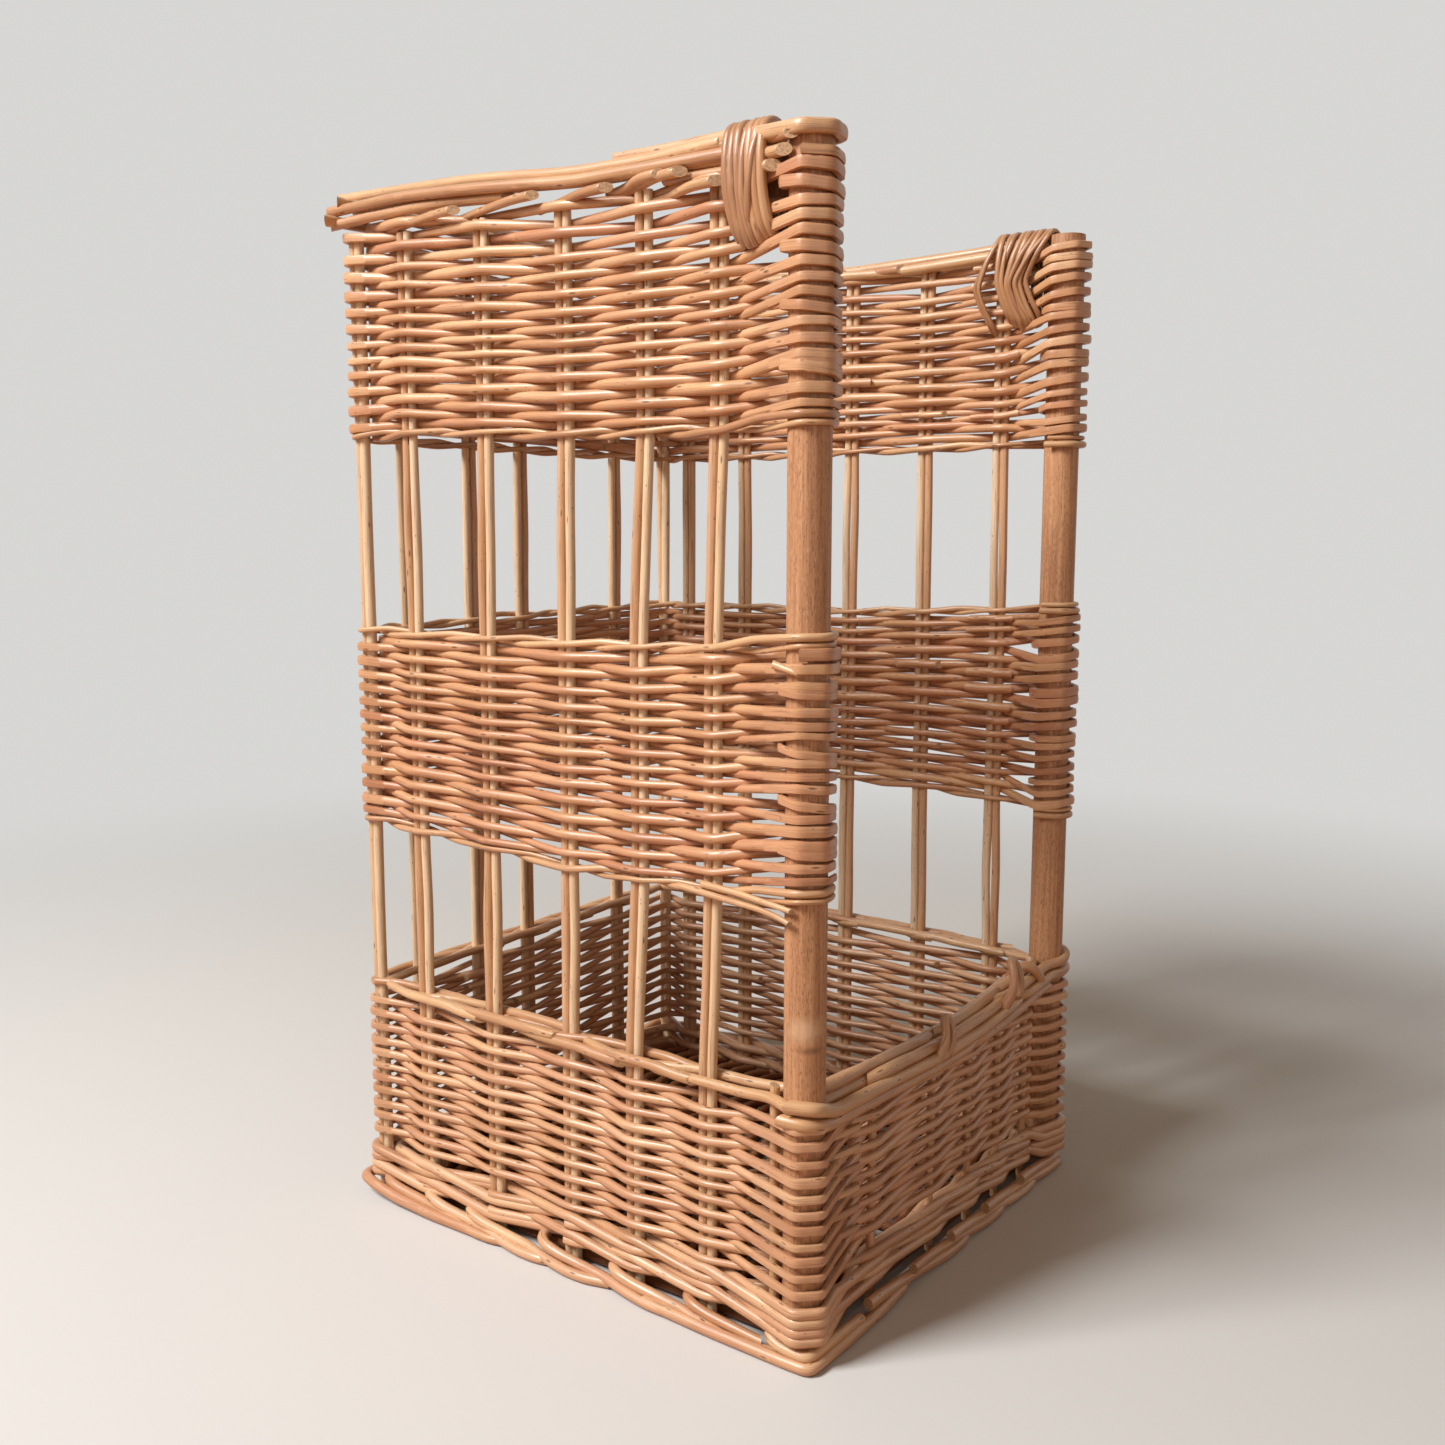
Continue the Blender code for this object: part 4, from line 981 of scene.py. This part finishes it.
# %% Borders
border_rods = {"left": [], "back": [], "right": []}
for wall_index, wall in enumerate(("left", "back", "right")):
    name, _, _, _, wall_length, lows, _ = walls[wall_index]
    stops = [-0.004] + [s * wall_length for s in lows] + [wall_length + 0.004]
    travelled = sum(w[4] for w in walls[:wall_index])
    for k in range(len(stops) - 2):
        a, b = stops[k], stops[k + 2]
        z, z_end = (edge_height(tray_high, travelled + d) + 0.0072 for d in (a, b))
        first = 0.0125 if name == "left" and k == 0 else 0.0062
        marks = ((a + 0.004, first, z), (a + 0.02, 0.0068, z + 0.0005),
                 ((a + b) / 2 - 0.02, 0.0066, (z + z_end) / 2 + 0.0008),
                 ((a + b) / 2 + 0.012, 0.0064, (z + z_end) / 2 + 0.0004),
                 (b - 0.018, 0.0030, z_end), (b, -0.0058, z_end - 0.0005),
                 (b + 0.014, -0.0062, z_end))
        marks = [(min(max(d, -0.002), wall_length + 0.003), o, h) for d, o, h in marks]
        border_rods[wall].append(laid(wall, marks, 0.0029, 0.004, cuts=(-1.0, 0.6),
                                      tone=chance.uniform(0.3, 1)))
        inner = [(d, -o * 0.85, h + 0.0008) for d, o, h in marks]
        border_rods[wall].append(laid(wall, inner, 0.0027, 0.005, tone=chance.uniform(0, 1)))
border_rods["left"].append(rod(np.array([on_wall("left", 0.0155, 0.0032, z) for z in
                                         np.linspace(0.012, 0.1420, 40)]), 0.0026, up=sideways,
                               end_cut=0.3, tone=0.9))
for wall, rods in border_rods.items():
    border = rod_object("border_" + wall, rods, border_willow, 12)
    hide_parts("tray_border_" + wall)


def front_rod(marks, radius, **more):
    """A front border rod; marks give x from the middle of the basket, offset and height."""
    return laid("front", [(half_span - x, o, z) for x, o, z in marks], radius, 0.0036, **more)


def border_height(x):
    """Height of the front border's middle: it sinks in the middle of the wall and rises again."""
    return np.interp(x, (-0.157, -0.10, -0.02, 0.03, 0.08, 0.157),
                     (0.1305, 0.1285, 0.1240, 0.1245, 0.1290, 0.1365))


lanes = mm("9.2 -6, 10 0, 6.8 5.5, 0.4 8, -6 4.5, -6.6 -3, 2 2")


def border_run(start, end, lane, radius, tone, near=0.0, far=0.0, cuts=(-0.9, 0.6)):
    """A rod along one lane, an (offset, lift); near and far are how much its ends sink."""
    offset, lift = lanes[lane]
    xs = np.linspace(start, end, 9)
    sink = near * (np.arange(9) == 0) + far * (np.arange(9) == 8)
    z = border_height(xs) + lift + chance.normal(0, 0.0004, 9)
    return front_rod(list(zip(xs, offset - 2.2 * sink, z - sink)), radius, tone=tone, cuts=cuts)


def post_end(x_sign, marks, lane, radius, tone, end):
    """A rod bent round a post, through marks of (x, offset, z), and then along one lane."""
    offset, lift = lanes[lane]
    xs = np.linspace(x_sign * 0.128, end, 7)
    run = list(zip(xs, [offset] * 6 + [offset - 0.006], border_height(xs) + lift))
    return front_rod((marks + run)[::-x_sign], radius, tone=tone)


def bent_over(marks, radius):
    """A stake end bent over the border as a narrow upright loop, through marks (x, offset, z)."""
    return front_rod(marks, radius, tone=chance.uniform(0.1, 0.5), flat=0.35)


rope = [
    post_end(-1, mm("-153.5 0 137.5, -148 11.8 137"), 1, 0.0036, 0.7, 0.012),
    post_end(-1, mm("-153.5 -4 129.5, -151.5 8.5 129, -142 12.5 127"), 0, 0.0034, 0.4, 0.045),
    *[border_run(*run) for run in (
        (-0.0300, 0.0960, 1, 0.0035, 0.55, 0.003, 0.003),
        (0.0200, 0.1240, 0, 0.0034, 0.35, 0.003, 0.0),
        (-0.0880, 0.0060, 2, 0.0035, 0.45, 0.0012, 0.003),
        (-0.0280, 0.0700, 2, 0.0036, 0.45, 0.003, 0.001),
        (-0.1280, -0.0560, 3, 0.0034, 0.3, 0.003, 0.001),
        (-0.0820, -0.0120, 3, 0.0034, 0.6, 0.001, 0.001),
        (-0.0060, 0.0720, 3, 0.0036, 0.5, 0.001, 0.001),
        (0.0760, 0.1290, 3, 0.0034, 0.4, 0.001, 0.003),
        (-0.1300, -0.0200, 4, 0.0033, 0.2), (-0.0280, 0.0620, 4, 0.0033, 0.7),
        (0.0560, 0.1300, 4, 0.0033, 0.4), (-0.1310, 0.1290, 5, 0.0033, 0.2),
        (-0.1280, 0.1240, 6, 0.0038, 0.3))],
    post_end(1, mm("154.5 0 144, 150 10.5 144, 140 12.5 140"), 2, 0.0036, 0.5, 0.060),
    post_end(1, mm("155 2 135, 150 11 134.5, 140 12.8 133"), 1, 0.0034, 0.35, 0.085),
    bent_over(mm("-23.5 10 123, -20.5 13.5 130, -16.5 12.5 139, -13.5 8 145, -8.5 7.5 145, "
                 "-6.8 11 139, -9.8 13.8 130, -13 11 123"), 0.0027),
    bent_over(mm("62.5 10 131, 65.5 13.5 139, 69.5 12 150, 72.5 7 156.5, 78 6.5 156, 80.5 10 148, "
                 "79 13 138.5, 76 11 131"), 0.0029),
    bent_over(mm("96 -4 136, 94 0 144, 98 5 147, 104 10.5 143, 108 11.5 137"), 0.0032),
]
rope += [laid("front", ((0.2435, 0.0092, z), (0.2560, 0.0082, z + 0.0006), (0.2720, 0.0040, z)),
              0.0021, 0.003, cuts=(-1.0, 0))
         for z in (0.0580, 0.0690, 0.0800, 0.0915, 0.1020, 0.1125)]
front_border = rod_object("front_border_rods", rope, border_willow, 14)
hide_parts("front_border")

# %% [markdown]
# ## Foot
# Under the walls the thick rod ends come out, bend in a rounded knee and run along the floor. Each
# one drops over the next, so that dark gaps stay between a knee and the waling above it. At the
# front the rods start with a square cut end instead. Round the left corners rods are bent.

# %% Foot rods
def foot_rod(wall, d, way):
    """A rod with a knee at distance d that runs along the wall by `way` times its length."""
    steps = mm("-2 -4 11.8, 0 5 12.4, 6 8.8 11.2, 18 8.6 8.6, 35 7.8 6.6, 52 8.2 5.6, "
               "68 10.8 4.2, 84 12.8 3.3, 98 12.4 3.1, 112 8.5 3.1")
    marks = [(d + way * s, o, z) for s, o, z in steps]
    marks = [m for m in marks if 0.004 < m[0] < wall_named[wall][4] + 0.004]
    return laid(wall, marks, 0.0031, 0.0034, taper=0.9)


foot_sets = {"left": [], "back": [], "right": [], "front": []}
for name, way, places in (("left", -1, (0.309, 0.272, 0.236, 0.177, 0.123, 0.071)),
                          ("back", -1, (0.27, 0.222, 0.172, 0.126, 0.080, 0.030)),
                          ("right", 1, (0.012, 0.055, 0.105, 0.155, 0.205, 0.255))):
    foot_sets[name] = [foot_rod(name, d, way) for d in places]
for x, z in mm("-96.2 12.5, -48.4 11.8, -4.4 12.5, 38.6 12.2, 86.8 12"):
    marks = [(half_span - x - s, o, h) for s, o, h in (
        (0.0, 0.0118, z), (0.012, 0.0108, z - 0.0012), (0.035, 0.0092, 0.0078),
        (0.060, 0.0092, 0.0054), (0.085, 0.0118, 0.0036), (0.105, 0.0120, 0.0031),
        (0.120, 0.0080, 0.0031)) if half_span - x - s > -0.012]
    foot_sets["front"].append(laid("front", marks, 0.0033, 0.0034, cuts=(-0.25, 0.3)))
for end, marks, radius, tone in (
        (-1, mm("11.5 95 3.6, 12.8 50 3.3, 12.8 4 3.3, 12.2 -12.2 3.3, -20 -12.8 3.6, -60 -12 4, "
                "-85 -9.5 4"), 0.0032, 0.75),
        (-1, mm("4.5 16 12.8, 10 14.5 11.6, 10.8 7 8.8, 10.8 -9.8 8.2, -12 -11 8.8, -40 -10 6.8"),
         0.0030, 0.9),
        (1, mm("-75 9 3.6, -30 9.2 5.6, -6 11 9.2, 10 10 9.8, 13 -4 8.2, 13.2 -25 5.2, "
               "13 -55 3.6, 11.8 -88 3.3"), 0.0033, 0.6)):
    line = smooth_line([(-half_span - out, end * half_depth + ahead, z)
                        for out, ahead, z in marks], 0.003)
    foot_sets["left"].append(rod(line, radius, start_cut=-0.3, end_cut=0.3, tone=tone))
for name, rods in foot_sets.items():
    foot = rod_object("foot_rods_" + name, rods, foot_willow, 12)
    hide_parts("foot_" + name)

# %% [markdown]
# ## Base
# The floor is randing laid flat: thick sticks run from front to back, and thinner rods pass over
# and under them from side to side. A thick rod lies along each wall, just inside its foot. In the
# darkest tone and the darkened base willow, it fills the gaps at the foot with painted shadow.
# All of the base is multiplied darker, as painted shadow.

# %% Woven base
base_rods = []
stick_places = (-0.1067, -0.064, -0.0215, 0.0215, 0.064, 0.1067)
base_middle, stick_radius, base_thickness = 0.0148, 0.0032, 0.0026
rows = 46
for row in range(rows):
    y = -0.1475 + 0.295 * (row + 0.5) / rows
    xs, zs = [-0.131], [base_middle]
    for k, x in enumerate(stick_places):
        side = 1 if (row + k) % 2 == 0 else -1
        xs += [x - 0.003, x + 0.003]
        zs += [base_middle + side * (stick_radius + base_thickness - 0.0003)] * 2
    xs.append(0.131)
    zs.append(base_middle)
    shift = chance.normal(0, 0.0003, len(xs))
    line = smooth_line(np.stack([xs, y + shift, zs], 1), 0.004, keep=3)
    base_rods.append(rod(line, base_thickness + drift(len(line), 20, 0.0001), up=(0, 0, 1)))
for x in stick_places:
    y = np.linspace(-0.149, 0.149, 40)
    line = np.stack([x + 0.0006 * np.sin(20 * y + 50 * x), y, np.full(40, base_middle)], 1)
    base_rods.append(rod(line, stick_radius, start_cut=0.4, end_cut=0.4, tone=0.3))
# rods along the walls in the darkest tone, in the darkened base willow: painted shadow in the gaps
# at the foot
for name, _, _, _, wall_length, _, _ in walls:
    base_rods.append(laid(name, ((0.004, -0.0084, 0.0062), (wall_length / 2, -0.0082, 0.0060),
                                 (wall_length - 0.004, -0.0084, 0.0062)), 0.0050, 0.01, tone=0.0))
base = rod_object("base_rods", base_rods, base_willow, 8)
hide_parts("base_weave", "base_stick_left", "base_stick_right")

# %% [markdown]
# ## Dowels
# The two posts are bought beech dowels, so the CAD nodes are right as they are. Beech has
# straight fibres, short dark flecks and a warm brown tone. The pattern is stretched along Z. Low
# on the left post is one pale patch with a dark spot. The nodes have flat sides, so the light is
# worked out with a normal that points away from the axis.

# %% Dowel wood
def dowel_wood():
    """Straight brown grain with short dark flecks, in object coordinates."""
    material, tree, shader = new_material("dowel_finish")
    place = add_node(tree, "TexCoord").outputs["Object"]
    streak = noise(tree, place, (520, 520, 16), 3.0, 0.6)
    base = ramp(tree, streak, ((0.34, (0.40, 0.180, 0.080)), (0.50, (0.54, 0.266, 0.124)),
                               (0.66, (0.67, 0.360, 0.180))))
    tint, fleck, pale, waver = (noise(tree, place, scale, rough=0.6) for scale in (
        (18, 18, 4), (1700, 1700, 300), (1400, 1400, 240), (160, 160, 160)))
    base = over(tree, base, tint, ((0.35, 0.0), (0.7, 0.5)), (0.40, 0.20, 0.105))
    base = over(tree, base, fleck, ((0.55, 0.0), (0.66, 0.62)), (0.18, 0.080, 0.036))
    base = over(tree, base, pale, ((0.58, 0.0), (0.70, 0.5)), (0.68, 0.43, 0.26))
    for spot, size, depth, colour in (
            ((-0.1475, -0.165, 0.176), 0.0115, 0.70, (0.76, 0.52, 0.33)),
            ((-0.1475, -0.165, 0.1655), 0.0030, 0.75, (0.24, 0.105, 0.045))):
        off = add_node(tree, "VectorMath", {"operation": "SUBTRACT"}, n0=place, n1=spot)
        squeezed = add_node(tree, "VectorMath", {"operation": "MULTIPLY"},
                            n0=off.outputs[0], n1=(0.35 if size < 0.01 else 1.0,) * 2 + (1.6,))
        far = add_node(tree, "VectorMath", {"operation": "LENGTH"},
                       n0=squeezed.outputs[0]).outputs["Value"]
        far = maths(tree, "ADD", far, maths(tree, "MULTIPLY", waver, size * 0.8))
        far = maths(tree, "DIVIDE", far, size * 1.7)
        base = over(tree, base, far, ((0.35, depth), (0.95, 0.0)), colour)
    height = maths(tree, "SUBTRACT", streak, ramp(tree, fleck, ((0.58, 0.0), (0.7, 0.6))))
    apart = add_node(tree, "SeparateXYZ", Vector=place).outputs
    axis_x = maths(tree, "MULTIPLY", maths(tree, "SIGN", apart["X"]), half_span)
    outward = add_node(tree, "CombineXYZ", X=maths(tree, "SUBTRACT", apart["X"], axis_x),
                       Y=maths(tree, "ADD", apart["Y"], half_depth)).outputs[0]
    outward = add_node(tree, "VectorTransform",
                       {"vector_type": "NORMAL", "convert_from": "OBJECT", "convert_to": "WORLD"},
                       Vector=outward).outputs[0]
    facing = add_node(tree, "NewGeometry").outputs["True Normal"]
    upward = add_node(tree, "SeparateXYZ", Vector=facing).outputs["Z"]
    level = maths(tree, "ABSOLUTE", upward)
    end_face = maths(tree, "GREATER_THAN", level, 0.7)
    bump = add_node(tree, "Bump", Height=height, Strength=0.4, Distance=0.0003,
                    Normal=mixed(tree, end_face, outward, facing))
    feed(tree, shader, Base_Color=base, Normal=bump.outputs["Normal"],
         Roughness=ramp(tree, streak, ((0.3, 0.56), (0.7, 0.44))))
    return material


wood = dowel_wood()
for label in ("post_left", "post_right"):
    node = bpy.data.objects[label]
    for slot in node.material_slots:
        slot.material = wood
    print(label, "finished")

# %% [markdown]
# ## Floor
# A plain pale floor takes the shadow. Far away it fades into the pale grey of the world, so that no
# edge shows. Only the eye sees the pale colour: the light that the floor throws back is brown, so
# that the underside of the rods looks warm.

# %% Floor
horizon, floor_colour, floor_bounce = (0.68, 0.675, 0.66), (0.66, 0.65, 0.63), (0.42, 0.21, 0.095)


def seen_directly(tree):
    """1 for rays of the eye, of mirrors and through glass, 0 for rays that only carry light."""
    rays = add_node(tree, "LightPath").outputs
    return maths(tree, "MAXIMUM", rays["Is Camera Ray"],
                 maths(tree, "MAXIMUM", rays["Is Glossy Ray"], rays["Is Transmission Ray"]))


floor_mesh = bpy.data.meshes.new("floor")
floor_mesh.from_pydata([(-6, -6, 0), (6, -6, 0), (6, 6, 0), (-6, 6, 0)], [], [(0, 1, 2, 3)])
floor = placed("floor", floor_mesh)
floor_material, tree, shader = new_material("pale_floor")
seen = seen_directly(tree)
feed(tree, shader, Base_Color=mixed(tree, seen, floor_bounce, floor_colour), Roughness=0.85)
place = add_node(tree, "TexCoord").outputs["Object"]
far = add_node(tree, "VectorMath", {"operation": "LENGTH"}, n0=place).outputs["Value"]
fade = ramp(tree, maths(tree, "MULTIPLY", far, 0.5), ((0.2, 0.0), (0.8, 1.0)), smooth=True)
pale = add_node(tree, "Emission", Color=(*horizon, 1), Strength=1.0)
both = add_node(tree, "MixShader", n0=maths(tree, "MULTIPLY", fade, seen),
                n1=shader.outputs[0], n2=pale.outputs[0])
feed(tree, tree.nodes["Material Output"], Surface=both.outputs[0])
floor_mesh.materials.append(floor_material)
print("floor", [round(size, 1) for size in floor.dimensions], "m")

# %% [markdown]
# ## Light
# One large lamp stands to the left and behind, and a weak one in front opens the shadows. The world
# is pale grey to the eye, and its own light is dim and warm.

# %% Lamps and world
sky_light, aim = (0.20, 0.143, 0.094), (0, 0, 0.3)


def lamp(name, place, size, power):
    """A square area lamp that looks at the middle of the basket."""
    light = bpy.data.lights.new(name, "AREA")
    light.size = size
    light.energy = power
    item = placed(name, light)
    item.location = place
    item.rotation_euler = (Vector(aim) - Vector(place)).to_track_quat("-Z", "Y").to_euler()
    print(name, power, "W")


lamp("large_lamp", (-1.80, 0.78, 2.12), 0.9, 96)
lamp("weak_lamp", (-1.9, -1.9, 1.0), 1.6, 7)
world = bpy.data.worlds.new("room_light")
bpy.context.scene.world = world
world.use_nodes = True
tree = world.node_tree
feed(tree, tree.nodes["Background"],
     Color=mixed(tree, seen_directly(tree), sky_light, horizon))
bpy.context.scene.view_settings.view_transform = "Standard"
